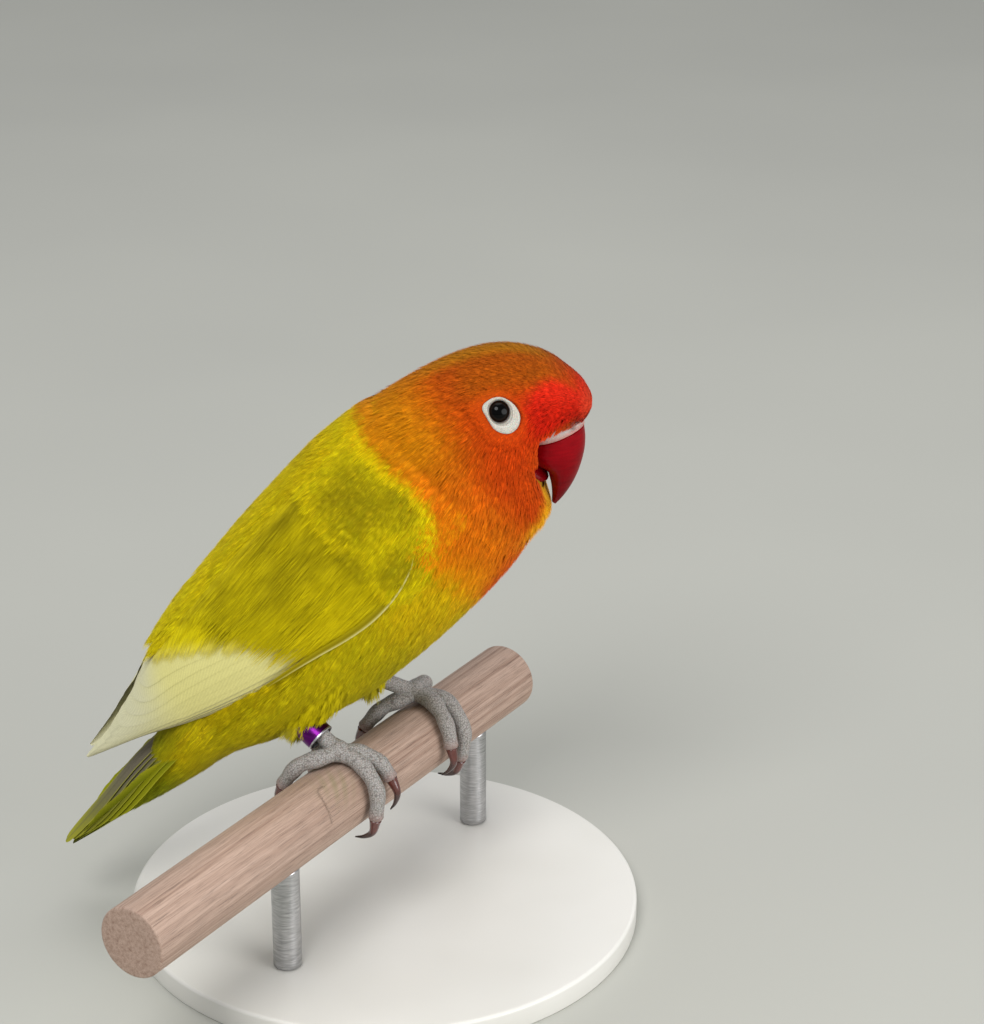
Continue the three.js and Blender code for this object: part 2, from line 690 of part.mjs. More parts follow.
const finishes = {
  faceFeathers: { color: 0xd4610f, roughness: 0.85 },
  collarFeathers: { color: 0xe0a010, roughness: 0.85 },
  bodyFeathers: { color: 0xb0a000, roughness: 0.85 },
  wingFeathers: { color: 0xbab414, roughness: 0.8 },
  tailFeathers: { color: 0x7f8a12, roughness: 0.8 },
  bill: { color: 0x9c0a1e, roughness: 0.25 },
  cere: { color: 0xe6dcd6, roughness: 0.6 },
  eye: { color: 0x120b08, roughness: 0.08 },
  footSkin: { color: 0x949494, roughness: 0.75 },
  claw: { color: 0x5a3030, roughness: 0.4 },
  ring: { color: 0x7a1482, roughness: 0.3, metalness: 0.8 },
  perchWood: { color: 0xc8a98c, roughness: 0.7 },
  standBase: { color: 0xe4e2dc, roughness: 0.6 },
  standRod: { color: 0xb8b8b8, roughness: 0.35, metalness: 0.9 },
};

const lovebird = new THREE.Group();
const raised = new THREE.Group();
raised.position.z = perchHeight;
lovebird.add(raised);

function place(name, geometry, finish) {
  const mesh = new THREE.Mesh(geometry, new THREE.MeshStandardMaterial(finishes[finish]));
  mesh.name = name;
  raised.add(mesh);
}

place('head', makeHead(), 'faceFeathers');
place('neck', makeNeck(), 'collarFeathers');
place('torso', makeTorso(), 'bodyFeathers');
place('tail', makeTail(), 'tailFeathers');
place('cere', makeCere(), 'cere');
place('bill_upper', billShape(billSections, 0, 2), 'bill');
place('bill_lower', fromSolid(cut(toSolid(billShape(lowerBillSections, 0, 2, 12)),
  [billShape(billSections, gap, 2)])), 'bill');
for (const side of ['right', 'left']) {
  place(`eye_${side}`, eyeBall(side, 0), 'eye');
  place(`wing_${side}`, makeWing(side), 'wingFeathers');
  place(`thigh_${side}`, makeThigh(side), 'bodyFeathers');
  place(`tarsus_${side}`, tarsusShape(legs[side], 0), 'footSkin');
  place(`foot_${side}`, makeFoot(legs[side]), 'footSkin');
  legs[side].toes.forEach((line, i) => place(`claw_${side}_${i + 1}`, makeClaw(legs[side], line), 'claw'));
}
place('leg_ring', makeLegRing(legs.right), 'ring');
place('perch', makePerch(), 'perchWood');
place('stand_base', makeBase(), 'standBase');
for (const [name, along] of Object.entries(rodPlaces)) {
  place(name, makeRod(along), 'standRod');
}

export default lovebird;
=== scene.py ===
import bpy
import math
import numpy as np
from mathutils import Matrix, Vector


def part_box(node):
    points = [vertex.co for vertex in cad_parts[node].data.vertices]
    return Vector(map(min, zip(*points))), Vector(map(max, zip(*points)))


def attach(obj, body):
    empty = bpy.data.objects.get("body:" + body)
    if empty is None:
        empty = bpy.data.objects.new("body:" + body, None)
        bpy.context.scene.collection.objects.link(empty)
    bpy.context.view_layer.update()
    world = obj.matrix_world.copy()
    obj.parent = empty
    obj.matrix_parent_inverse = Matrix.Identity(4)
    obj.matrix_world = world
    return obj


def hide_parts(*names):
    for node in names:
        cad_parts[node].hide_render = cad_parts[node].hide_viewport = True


print("loading the frame")
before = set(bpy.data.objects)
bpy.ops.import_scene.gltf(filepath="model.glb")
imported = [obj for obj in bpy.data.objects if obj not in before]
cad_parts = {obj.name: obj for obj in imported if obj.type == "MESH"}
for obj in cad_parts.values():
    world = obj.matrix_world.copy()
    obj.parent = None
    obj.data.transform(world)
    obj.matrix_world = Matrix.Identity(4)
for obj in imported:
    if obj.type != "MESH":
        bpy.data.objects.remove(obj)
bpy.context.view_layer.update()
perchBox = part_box("perch")
perchAxisHeight = (perchBox[0].z + perchBox[1].z) / 2  # metres above the floor
millimetre = 0.001

# The body's outer line, the same stations as in the solids: centre x, centre z, reach up, reach down
# and half width in millimetres, with z from the perch's axis. Angle 0 is the back, +90 the left side.
bodyStations = np.array([
    [-56.5, -10.5, 1.2, 1.4, 2.8], [-50, -4.6, 3.8, 3.4, 5.2], [-43.5, 2.4, 6.6, 5.8, 7.8],
    [-37, 9.8, 10, 8, 10.8], [-32, 16, 13.2, 13, 13.6], [-25.5, 24, 16, 17.4, 16.6],
    [-17.5, 33, 19, 21.3, 18.8], [-8, 44, 21.5, 23.6, 20], [1.5, 55, 22.6, 24.8, 20],
    [10, 65, 21.4, 24.9, 17.8], [18, 73.5, 18.8, 22.4, 15.2], [26, 79.5, 16.2, 18.5, 13.8],
    [33.5, 81.9, 12.8, 9.6, 10.8], [39, 82.4, 7.6, 5.2, 7.6], [42.3, 82, 3.7, 3.2, 4.4],
    [43.5, 81.7, 1.3, 1.3, 1.7]])
wingStations = np.array([
    [-63.2, 3, 1.7, 2, 3.8], [-52, 12, 6.6, 5.6, 8.2], [-43, 18.8, 11.6, 9.8, 12.2],
    [-34, 26.2, 15.4, 14.4, 16], [-24, 34.8, 18, 18.4, 19], [-12, 45.5, 20.4, 22.4, 20.8],
    [0, 56, 22.2, 24.2, 21], [9, 65, 21.6, 23.6, 19], [16, 72, 19.6, 21, 16.6]])
sides = {"Right": -1, "Left": 1}


def paint(red, green, blue):
    share = np.array([red, green, blue]) / 255
    return np.where(share <= 0.04045, share / 12.92, ((share + 0.055) / 1.055) ** 2.4)


def blend(a, b, share):
    return a + (b - a) * share


def ramp(value, low, high):
    share = np.clip((value - low) / (high - low), 0, 1)
    return share * share * (3 - 2 * share)


def window(value, low, full, fade, high):  # rises from low to full and falls from fade to high
    return ramp(value, low, full) * (1 - ramp(value, fade, high))


def circle(count):
    return np.linspace(0, 2 * math.pi, count, endpoint=False)


def mixTint(tint, other, share):
    return tint + (np.asarray(other) - tint) * np.asarray(share)[..., None]


def layered(tint, shape, *coats):  # coats of a colour, each with how much of it shows
    tint = np.zeros((*shape, 3)) + tint
    for tone, share in coats:
        tint = mixTint(tint, tone, share)
    return tint


def toFrame(points):
    return np.asarray(points, float) * millimetre + np.array([0, 0, perchAxisHeight])


# Stations are joined by a uniform Catmull-Rom curve; returns the rows and their slopes
def sampleRows(rows, place):
    last = len(rows) - 1
    first = np.clip(np.floor(place).astype(int), 0, last - 1)
    f = (place - first)[..., None]
    p0, p1 = rows[np.maximum(first - 1, 0)], rows[first]
    p2, p3 = rows[first + 1], rows[np.minimum(first + 2, last)]
    a, b, c = p2 - p0, 2 * p0 - 5 * p1 + 4 * p2 - p3, 3 * p1 - p0 - 3 * p2 + p3
    return 0.5 * (2 * p1 + a * f + b * f * f + c * f ** 3), 0.5 * (a + 2 * b * f + 3 * c * f * f)


# The turn of a loft's axis, softened so that the skin has no crease at a station
loftTurns = {}


def loftTurn(rows, place):
    if id(rows) not in loftTurns:
        fine = np.arange(0, len(rows) - 0.99, 0.02)
        slope = sampleRows(rows, fine)[1]
        turn = np.unwrap(np.arctan2(slope[:, 1], slope[:, 0]))
        near = np.exp(-((fine[:, None] - fine[None, :]) / 0.3) ** 2)
        loftTurns[id(rows)] = fine, near @ turn / near.sum(1)
    return np.interp(place, *loftTurns[id(rows)])


def loftPoint(rows, place, angle, lift=0.0):
    place = np.asarray(place, float)
    at = sampleRows(rows, place)[0]
    lean = loftTurn(rows, place)
    turn = np.radians(angle)
    reach = (np.where(np.cos(turn) > 0, at[..., 2], at[..., 3]) + lift) * np.cos(turn)
    return np.stack([at[..., 0] - reach * np.sin(lean), (at[..., 4] + lift) * np.sin(turn),
                     at[..., 1] + reach * np.cos(lean)], -1)


def loftFrame(rows, place, angle, lift=0.0):
    here = loftPoint(rows, place, angle, lift)
    byPlace = (loftPoint(rows, place + 0.01, angle, lift) - here) / 0.01
    byAngle = (loftPoint(rows, place, angle + 0.5, lift) - here) / 0.5
    return here, byPlace, byAngle


def unit(v):
    return v / np.maximum(np.linalg.norm(v, axis=-1, keepdims=True), 1e-12)


def dot(a, b):
    return (a * b).sum(-1)


def wrapped(angle):
    return (np.asarray(angle) + 180) % 360 - 180


def sideOf(angle):  # degrees from the back's ridge, the same on both sides
    return np.abs(wrapped(angle))


def perStrand(values):  # one value for each feather, set against its strands' points
    return values[:, None, None]


def addObject(name, data):
    made = bpy.data.objects.new(name, data)
    bpy.context.scene.collection.objects.link(made)
    return made


# One mesh object from arrays; points are in the frame's metres
def makePiece(name, points, faceSets, material, slotName=None, nodes=(), smooth=True,
              tint=None, bakePlace=None, layers=None):
    points = np.asarray(points, np.float32).reshape(-1, 3)
    loops = np.concatenate([np.asarray(f).ravel() for f in faceSets]).astype(np.int32)
    totals = np.concatenate([np.full(len(f), np.asarray(f).shape[1]) for f in faceSets])
    mesh = bpy.data.meshes.new(name)
    mesh.vertices.add(len(points))
    mesh.vertices.foreach_set("co", points.ravel())
    mesh.loops.add(len(loops))
    mesh.loops.foreach_set("vertex_index", loops)
    mesh.polygons.add(len(totals))
    mesh.polygons.foreach_set("loop_start", (np.cumsum(totals) - totals).astype(np.int32))
    mesh.polygons.foreach_set("use_smooth", np.full(len(totals), smooth))
    mesh.update(calc_edges=True)
    if tint is not None:
        tint = np.reshape(tint, (-1, 3))
        attribute = mesh.color_attributes.new(name="tint", type="FLOAT_COLOR", domain="POINT")
        attribute.data.foreach_set("color", np.c_[np.clip(tint, 0, 1), np.ones(len(tint))].ravel())
    for layer, values in (layers or {}).items():
        attribute = mesh.attributes.new(name=layer, type="FLOAT_VECTOR", domain="POINT")
        attribute.data.foreach_set("vector", np.asarray(values, np.float32).ravel())
    if bakePlace is not None:
        uv = mesh.uv_layers.new(name="OFBake")
        uv.data.foreach_set("uv", np.asarray(bakePlace, np.float32).reshape(-1, 2)[loops].ravel())
    mesh.materials.append(material)
    piece = addObject(name, mesh)
    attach(piece, "root")
    if nodes:
        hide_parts(*nodes)
    return piece


# Quads of a grid of points, closed round its second direction if asked
def gridQuads(rowCount, columnCount, closed=False, first=0):
    i = np.arange(rowCount - 1)[:, None]
    j = np.arange(columnCount if closed else columnCount - 1)[None, :]
    k = (j + 1) % columnCount
    a, b = i * columnCount + j, i * columnCount + k
    return np.stack([a, b, b + columnCount, a + columnCount], -1).reshape(-1, 4) + first


def sheetQuads(count, steps, columns):  # the faces of a row of equal sheets
    return np.concatenate([gridQuads(steps, columns, first=i * steps * columns) for i in range(count)])


def outward(points, quads):  # turns the faces of a closed shape to look out
    corners = points[quads]
    volume = np.einsum("ij,ij->", corners[:, 0], np.cross(corners[:, 1], corners[:, 2]))
    volume += np.einsum("ij,ij->", corners[:, 0], np.cross(corners[:, 2], corners[:, 3]))
    return quads[:, ::-1] if volume < 0 else quads


# Rings of points joined into a closed skin, with a fan over each end
def ringSkin(rings):
    rings = np.asarray(rings, float)
    count, around = rings.shape[:2]
    points = np.concatenate([rings.reshape(-1, 3), rings[:1].mean(1), rings[-1:].mean(1)])
    quads = gridQuads(count, around, closed=True)
    j = np.arange(around)
    k = (j + 1) % around
    low = np.stack([k, j, np.full(around, count * around)], -1)
    last = (count - 1) * around
    high = np.stack([j + last, k + last, np.full(around, count * around + 1)], -1)
    turned = outward(points - points.mean(0), quads)
    if turned is not quads:
        low, high = low[:, ::-1], high[:, ::-1]
    return points, turned, np.concatenate([low, high])


def withEnds(values, width=3):  # adds the values of the two points that close a ring skin
    values = values.reshape(-1, width)
    return np.concatenate([values, values[:1], values[-1:]])


def makeSolid(name, rings, material, slotName, nodes, tint=None, **more):
    points, quads, fans = ringSkin(rings)
    tint = None if tint is None else withEnds(tint)
    return makePiece(name, points, [quads, fans], material, slotName, nodes, tint=tint, **more)


# Adds a node; a value that is a socket is linked
def node(tree, kind, values=None, **settings):
    made = tree.nodes.new(kind)
    for key, value in settings.items():
        setattr(made, key, value)
    for key, value in (values or {}).items():
        if isinstance(value, bpy.types.NodeSocket):
            tree.links.new(value, made.inputs[key])
        else:
            made.inputs[key].default_value = value
    return made


def newMaterial(name, values):
    material = bpy.data.materials.new(name)
    material.use_nodes = True
    shader = material.node_tree.nodes["Principled BSDF"]
    for key, value in values.items():
        shader.inputs[key].default_value = value
    return material, material.node_tree, shader


def colour(value):
    return (*[float(x) for x in value], 1.0)


def attributeNode(tree, name, output="Vector"):
    return node(tree, "ShaderNodeAttribute", attribute_name=name).outputs[output]


def mixColours(tree, share, a, b, kind="MIX"):
    made = node(tree, "ShaderNodeMix", data_type="RGBA", blend_type=kind)
    for socket, value in ((made.inputs[0], share), (made.inputs[6], a), (made.inputs[7], b)):
        if isinstance(value, bpy.types.NodeSocket):
            tree.links.new(value, socket)
        else:
            socket.default_value = value
    return made.outputs[2]


def rampNode(tree, value, stops):
    made = node(tree, "ShaderNodeValToRGB", {"Fac": value})
    elements = made.color_ramp.elements
    while len(elements) < len(stops):
        elements.new(0.5)
    for element, (place, tone) in zip(elements, stops):
        element.position = place
        element.color = tone if len(tone) == 4 else colour(tone)
    return made.outputs["Color"]


def grey(value):
    return (value, value, value, 1.0)


def objectPlace(tree, scale=(1, 1, 1)):
    return stretched(tree, node(tree, "ShaderNodeTexCoord").outputs["Object"], scale)


def stretched(tree, place, scale):
    return node(tree, "ShaderNodeMapping", {"Vector": place, "Scale": scale}).outputs["Vector"]


def noise(tree, place, scale, detail, **more):
    values = {"Vector": place, "Scale": scale, "Detail": detail, **more}
    return node(tree, "ShaderNodeTexNoise", values).outputs["Fac"]


def cellEdges(tree, place, scale):  # how far the nearest edge of small cells is
    return node(tree, "ShaderNodeTexVoronoi", {"Vector": place, "Scale": scale},
                feature="DISTANCE_TO_EDGE").outputs["Distance"]


def shaded(tree, base, share, low, high, dark):  # darkens the base where the share is low
    tone = rampNode(tree, share, [(low, grey(dark)), (high, grey(1.0))])
    return mixColours(tree, 1.0, base, tone, "MULTIPLY")


def addBump(tree, shader, height, strength, depth):
    bump = node(tree, "ShaderNodeBump", {"Height": height, "Strength": strength, "Distance": depth})
    tree.links.new(bump.outputs["Normal"], shader.inputs["Normal"])


def addRoughness(tree, shader, share, least, most):
    rough = node(tree, "ShaderNodeMapRange", {0: share, 3: least, 4: most}).outputs[0]
    tree.links.new(rough, shader.inputs["Roughness"])


# Feathers: the tint is on the mesh; the nodes add a fine fleck and, on vanes, slanting barbs with painted
# shade in the grooves between them
featherLook = {"roughness": 0.78, "sheen": 0.05, "sheenRoughness": 0.6, "specular": 0.05,
               "fleckScale": 3200, "fleck": 0.07, "barbSlant": -0.12, "barbGrooveShade": 0.07, "bump": 0.2,
               "bumpDepth": 0.00004}


def makeFeatherMaterial(name, barbs=0.0):
    look = featherLook
    material, tree, shader = newMaterial(name, {
        "Roughness": look["roughness"], "Sheen Weight": look["sheen"], "Sheen Tint": (1.0, 0.8, 0.5, 1.0),
        "Sheen Roughness": look["sheenRoughness"], "Specular IOR Level": look["specular"]})
    tint = attributeNode(tree, "tint", "Color")
    fleck = noise(tree, objectPlace(tree), look["fleckScale"], 1.0)
    painted = shaded(tree, tint, fleck, 0.3, 0.7, 1 - look["fleck"])
    if barbs:
        parts = node(tree, "ShaderNodeSeparateXYZ", {"Vector": attributeNode(tree, "vane")}).outputs

        def compute(kind, *values):
            return node(tree, "ShaderNodeMath", dict(enumerate(values)), operation=kind).outputs[0]

        slant = compute("MULTIPLY", compute("ABSOLUTE", parts[0]), look["barbSlant"])
        line = compute("ADD", parts[1], slant)
        height = compute("SINE", compute("MULTIPLY", line, barbs))
        spread = node(tree, "ShaderNodeMapRange", {0: height, 1: -1.0, 2: 1.0}).outputs[0]
        # the low parts of the barbs are painted darker: painted shade in the grooves between them
        painted = shaded(tree, painted, spread, 0.0, 1.0, 1 - look["barbGrooveShade"])
        addBump(tree, shader, height, look["bump"], look["bumpDepth"])
    tree.links.new(painted, shader.inputs["Base Color"])
    return material


# The bird's own colours, and a lighter red that paints light on the forehead's front
plumage = {
    "forehead": paint(222, 40, 18), "foreheadFrontLit": paint(246, 74, 42), "lores": paint(206, 26, 4),
    "face": paint(196, 68, 4), "cheek": paint(204, 62, 4), "crown": paint(172, 80, 4),
    "crownRidge": paint(180, 118, 10),
    "nape": paint(200, 124, 2), "throat": paint(216, 92, 12), "breast": paint(220, 116, 6),
    "breastLow": paint(230, 156, 4), "chinYellow": paint(236, 172, 24),
    "collar": paint(216, 188, 2), "collarSide": paint(206, 174, 4), "mantle": paint(182, 160, 2),
    "flank": paint(184, 168, 4), "belly": paint(166, 152, 4), "vent": paint(178, 172, 80),
    "undertail": paint(132, 138, 12), "rump": paint(150, 146, 10), "covert": paint(206, 186, 2),
    "covertPale": paint(216, 200, 6), "olive": paint(166, 150, 4), "oliveDeep": paint(136, 122, 3),
    "cream": paint(224, 217, 142), "creamTip": paint(206, 204, 178), "greyLine": paint(122, 116, 96),
    "edgeGrey": paint(150, 146, 122), "tailGreen": paint(128, 130, 8), "tailGrey": paint(104, 98, 84),
    "tailEdge": paint(170, 168, 40)}


def hump(value, centre, width):  # a soft hump, 1 at its centre
    return np.exp(-((value - centre) / width) ** 2)


# Where the hood ends: place along the body for each angle from the back's ridge
hoodAngles = [0, 34, 82, 94, 102, 118, 162, 180]
hoodPlaces = [9.52, 9.2, 8.98, 8.8, 8.6, 8.5, 8.3, 8.2]


# Markings of head and body, with painted light on the forehead's front, by place along the body and angle
# from the back's ridge
def bodyTint(place, angle):
    place, side = np.broadcast_arrays(place, sideOf(angle))
    hues = plumage
    waver = 0.07 * np.sin(side * 0.21 + place * 3.1) + 0.05 * np.sin(side * 0.53 - place * 5.3)
    hoodEdge = np.interp(side, hoodAngles, hoodPlaces) + waver
    vent = 0.6 * window(place, 2.0, 2.7, 2.8, 3.6) * ramp(side, 138, 170)
    collar = mixTint(hues["collar"], hues["collarSide"], ramp(side, 50, 100))
    body = layered(
        hues["mantle"], side.shape,
        (hues["flank"], ramp(side, 70, 110)),
        (hues["belly"], ramp(side, 120, 160)),
        (hues["rump"], ramp(4.6 - place, 0, 1.6) * ramp(90 - side, 0, 60)),
        (hues["undertail"], ramp(2.9 - place, 0, 1.3) * ramp(side, 40, 90)),
        (hues["vent"], vent),
        (collar, ramp(place - hoodEdge, -1.5, -0.3) * (1 - 0.4 * ramp(side, 135, 165))))
    crown = window(place, 10.4, 11.1, 12.4, 13.3) * ramp(66 - side, 0, 24)
    ridge = 0.8 * window(place, 9.8, 10.8, 12.0, 12.8) * ramp(22 - side, 0, 16)
    redTop = 60 - 27 * ramp(place, 11.5, 12.8)
    red = ramp(place, 11.4, 12.15) * ramp(side - redTop, 0, 20) * ramp(118 - side, 0, 26)
    forehead = mixTint(hues["forehead"], hues["lores"], ramp(side, 55, 85))
    chin = 0.9 * ramp(side, 140, 156) * window(place, 9.4, 10.4, 12.7, 13.3)
    hood = layered(
        hues["face"], side.shape,
        (hues["cheek"], hump(place, 11.6, 0.8) * hump(side, 96, 22)),
        (hues["breast"], ramp(10.6 - place, 0, 1.1) * ramp(side, 60, 110)),
        (hues["breastLow"], ramp(9.4 - place, 0, 1.0) * ramp(side, 80, 120)),
        (hues["nape"], ramp(10.95 - place, 0, 1.1) * ramp(108 - side, 0, 50)),
        (hues["crown"], crown),
        (hues["crownRidge"], ridge),
        (forehead, np.maximum(red, ramp(place, 13.0, 13.8))),
        # the forehead's front is painted lighter: painted light on the front of the face
        (hues["foreheadFrontLit"], ramp(place, 13.5, 14.3)),
        (hues["throat"], ramp(side, 136, 160) * ramp(12.9 - place, 0, 0.8)),
        (hues["chinYellow"], chin))
    return mixTint(body, hood, ramp(place - hoodEdge, -0.25, 0.4))


# Olive patches on the wing: place, angle and their reach in both
olivePatches = [
    (6.6, 58, 0.5, 20), (7.1, 76, 0.3, 13), (6.4, 99, 0.36, 9), (5.8, 82, 0.3, 12), (5.3, 63, 0.38, 12),
    (4.6, 66, 0.34, 11), (4.65, 89, 0.25, 6), (4.0, 46, 0.32, 8), (3.75, 61, 0.25, 8), (5.2, 40, 0.5, 7)]

# Where the collar and the hood begin on the wing: angles from the back's ridge, and their places
collarOnWing = [40, 58, 80, 92, 102, 108], [7.15, 7.3, 7.42, 7.2, 6.85, 6.6]
hoodOnWing = [14, 40, 58, 74, 86, 98, 106, 125], [7.4, 7.38, 7.4, 7.5, 7.5, 7.3, 6.95, 6.6]


# Markings of the wing; its front goes over into the collar and the hood
def wingTint(place, angle):
    place, side = np.broadcast_arrays(place, sideOf(angle))
    hues = plumage
    olive = 0.0
    for at, turn, long, wide in olivePatches:
        olive = np.maximum(olive, np.exp(-((place - at) / long) ** 4 - ((side - turn) / wide) ** 4))
    ripple = 0.8 + 0.2 * np.sin(place * 23 + side * 0.7) * np.sin(side * 0.31 - place * 9)
    pastCollar = place - np.interp(side, *collarOnWing) + 0.05 * np.sin(side * 0.4)
    pastHood = place - np.interp(side, *hoodOnWing)
    nearHood = layered(hues["nape"], side.shape, (hues["breast"], ramp(side, 56, 84)),
                       (hues["breastLow"], ramp(side, 92, 116)))
    return layered(
        hues["covert"], side.shape,
        (hues["covertPale"], 0.8 * hump(place, 3.2, 1.0) * ramp(100 - side, 0, 30)),
        (hues["olive"], 0.4 * hump(side, 66, 34) * ramp(place, 3.0, 4.4)),
        (hues["oliveDeep"], 0.85 * olive * ripple),
        (hues["collar"], ramp(pastCollar, -0.14, 0.14)),
        (nearHood, ramp(pastHood, -0.1, 0.16)))


# Feather templates: strands of five points, each with its place along, 0 to 1, and across, -1 to 1
def tuftTemplate(strands, splay, rng):
    across = np.linspace(-1, 1, strands) + rng.normal(0, 0.06, strands)
    length = 1 - 0.32 * across ** 2 + rng.normal(0, 0.06, strands)
    wide = 1.35 / strands
    rows = []
    for share, width in ((0.0, 0.75), (0.5, 1.0)):
        middle = across * (1 - splay * (1 - share))
        rows += [(length * share, middle - wide * width), (length * share, middle + wide * width)]
    rows.append((length, across * 1.04 + rng.normal(0, 0.08, strands)))
    return np.stack([np.stack(row, -1) for row in rows], -2)


def plumeTemplate(barbs, rng):
    s = np.tile((np.arange(barbs) + 0.5) / barbs, 2)
    sign = np.repeat([-1.0, 1.0], barbs)
    half = np.sqrt(np.clip(1 - (2 * s * 0.86 - 0.78) ** 2, 0.04, 1)) * (1 + rng.normal(0, 0.05, len(s)))
    slant = half * math.tan(math.radians(56)) * 0.36
    rows = []
    for share, width in ((0.0, 0.85 / barbs), (0.55, 0.75 / barbs)):
        middle = s * 0.88 + share * slant * 0.42
        rows += [(middle - width, sign * half * share), (middle + width, sign * half * share)]
    rows.append((s * 0.88 + slant * 0.5 + 0.4 / barbs, sign * half))
    template = np.stack([np.stack(row, -1) for row in rows], -2)
    template[..., 0] = template[..., 0].clip(0, 1.04)
    return template


def strandFaces(strandCount):
    first = np.arange(strandCount)[:, None] * 5
    return first + np.array([0, 1, 3, 2]), first + np.array([2, 3, 4])


def cellAreas(rows, p, a):  # a loft's points at some places and angles, and the areas between them
    grid = loftPoint(rows, p[:, None], a[None, :])
    down, across = grid[1:, :-1] - grid[:-1, :-1], grid[:-1, 1:] - grid[:-1, :-1]
    return grid, np.linalg.norm(np.cross(down, across), axis=-1)


# Roots spread evenly over a stretch of a loft; multiples of these two steps leave no gaps or clumps
evenSteps = (0.7548776662466927, 0.5698402909980532)
rowGap = 1.5  # keeps the rows of a flattened table apart


def scatter(rows, places, angles, count, rng):
    p, a = np.linspace(*places, 161), np.linspace(*angles, 121)
    grid, area = cellAreas(rows, p, a)
    sums = area.sum(1)
    u, v = [(0.5 + np.arange(count) * step) % 1 for step in evenSteps]
    total = np.concatenate([[0], np.cumsum(sums)]) / sums.sum()
    place = np.interp(u, total, p)
    row = np.clip(np.searchsorted(total, u) - 1, 0, len(sums) - 1)
    across = np.concatenate([np.zeros((len(sums), 1)), np.cumsum(area, 1)], 1) / sums[:, None]
    flat = (across + np.arange(len(sums))[:, None] * rowGap).ravel()
    index = np.clip(np.searchsorted(flat, row * rowGap + v) - 1, 0, len(flat) - 2)
    share = (row * rowGap + v - flat[index]) / np.maximum(flat[index + 1] - flat[index], 1e-9)
    angle = a[index % len(a)] + np.clip(share, 0, 1) * (a[1] - a[0])
    step = math.sqrt(area.sum() / count)
    length = np.linalg.norm(grid[1:, 60] - grid[:-1, 60], axis=-1).mean()
    return place + rng.normal(0, 0.18, count) * step / length * (p[1] - p[0]), angle


def rowValue(settings, name, place):
    return np.interp(place, settings["at"], settings[name])


def onLoft(byPlace, byAngle, move):  # a move along a loft, as steps of place and of angle
    e, f, g = dot(byPlace, byPlace), dot(byPlace, byAngle), dot(byAngle, byAngle)
    steps, turns = dot(move, byPlace), dot(move, byAngle)
    scale = e * g - f * f
    return (steps * g - turns * f) / scale, (turns * e - steps * f) / scale


# Grows one coat piece: many small feathers rooted on a loft and lying along its flow. Length and
# width follow the place, and the count follows them, so that pieces meet without a seam.
templateCount = 12


def growCoat(name, rows, settings, tintOf, flowOf, keep=None):
    rng = np.random.default_rng(settings["seed"])
    places, angles, strands = settings["places"], settings["angles"], settings["strands"]

    def sizes(place):
        return rowValue(settings, "length", place), rowValue(settings, "width", place)

    least = np.prod(sizes(np.linspace(*places, 41)), 0).min()
    ground = cellAreas(rows, np.linspace(*places, 81), np.linspace(*angles, 81))[1].sum()
    count = int(settings["cover"] * ground / least)
    place, angle = scatter(rows, places, angles, count, rng)
    kept = rng.random(count) < least / np.prod(sizes(place), 0)
    if keep is not None:
        kept &= keep(place, angle)
    place, angle = place[kept], angle[kept]
    count = len(place)
    shapes = np.stack([tuftTemplate(strands, settings["splay"], rng) for _ in range(templateCount)])
    shape = shapes[rng.integers(0, templateCount, count)]
    byPlace, byAngle = loftFrame(rows, place, angle)[1:]
    sign = np.where(wrapped(angle) < 0, -1.0, 1.0)
    lay = np.radians(flowOf(place, angle) + rng.normal(0, settings["stray"], count))
    ahead = unit(byPlace)
    around = unit(byAngle - ahead * dot(byAngle, ahead)[:, None])
    course = -np.cos(lay)[:, None] * ahead + (sign * np.sin(lay))[:, None] * around
    cross = (sign * np.sin(lay))[:, None] * ahead + np.cos(lay)[:, None] * around
    sizeAt = settings.get("sizeAt")
    size = rng.uniform(0.8, 1.2, count) * (sizeAt(place, angle) if sizeAt else 1.0)
    length, width = sizes(place)
    length = length * size
    half = width / 2 * size * rng.uniform(0.9, 1.1, count)
    along = shape[..., 0]
    alongShare = np.clip(along, 0, 1)
    across = shape[..., 1] + perStrand(rng.normal(0, settings["bend"], count)) * along ** 2
    move = (along * perStrand(length))[..., None] * perStrand(course) \
        + (across * perStrand(half))[..., None] * perStrand(cross)
    steps, turns = onLoft(perStrand(byPlace), perStrand(byAngle), move)
    atPlace = np.clip(perStrand(place) + steps, settings["lowest"], len(rows) - 1.02)
    atAngle = perStrand(angle) + turns
    tipLift = perStrand(settings["tip"] + rng.normal(0, settings["ruffle"], count))
    lift = blend(settings["root"], tipLift, 1 - (1 - alongShare) ** 1.7)
    lift = lift - settings["camber"] * shape[..., 1] ** 2 * np.clip(along, 0.2, 1)
    if settings.get("eyes"):  # tips stay under the bare rings round the eyes
        flat = loftPoint(rows, atPlace, atAngle)
        for side in sides:
            lift = lift - 1.3 * (1 - ramp(ringShare(flat, side), 0.86, 1.03))
    lift = lift + settings["liftAt"](place, angle, alongShare)
    points = toFrame(loftPoint(rows, atPlace, atAngle, lift))
    tint = tintOf(place, angle) * np.exp(rng.normal(0, settings["vary"], (count, 1)))
    tint = tint * (1 + rng.normal(0, settings["vary"] * 0.35, (count, 3)))
    gain = np.exp(rng.normal(0, settings["strandVary"], (count, strands, 1)))
    shade = blend(settings["rootShade"], 1.05, alongShare ** 0.8) * gain
    u = (place - places[0]) / (places[1] - places[0])
    v = (angle - angles[0]) / (angles[1] - angles[0])
    bake = np.stack([0.01 + 0.98 * perStrand(np.clip(u, 0, 1)) + 0.0015 * shape[..., 1],
                     0.01 + 0.98 * perStrand(np.clip(v, 0, 1)) + 0.003 * (along - 0.5)], -1)
    print(f"  {name}: {count} feathers, {3 * count * strands} triangles")
    return makePiece(name, points, strandFaces(count * strands), coatMaterial, settings["slot"],
                     tint=perStrand(tint) * shade[..., None], bakePlace=bake)


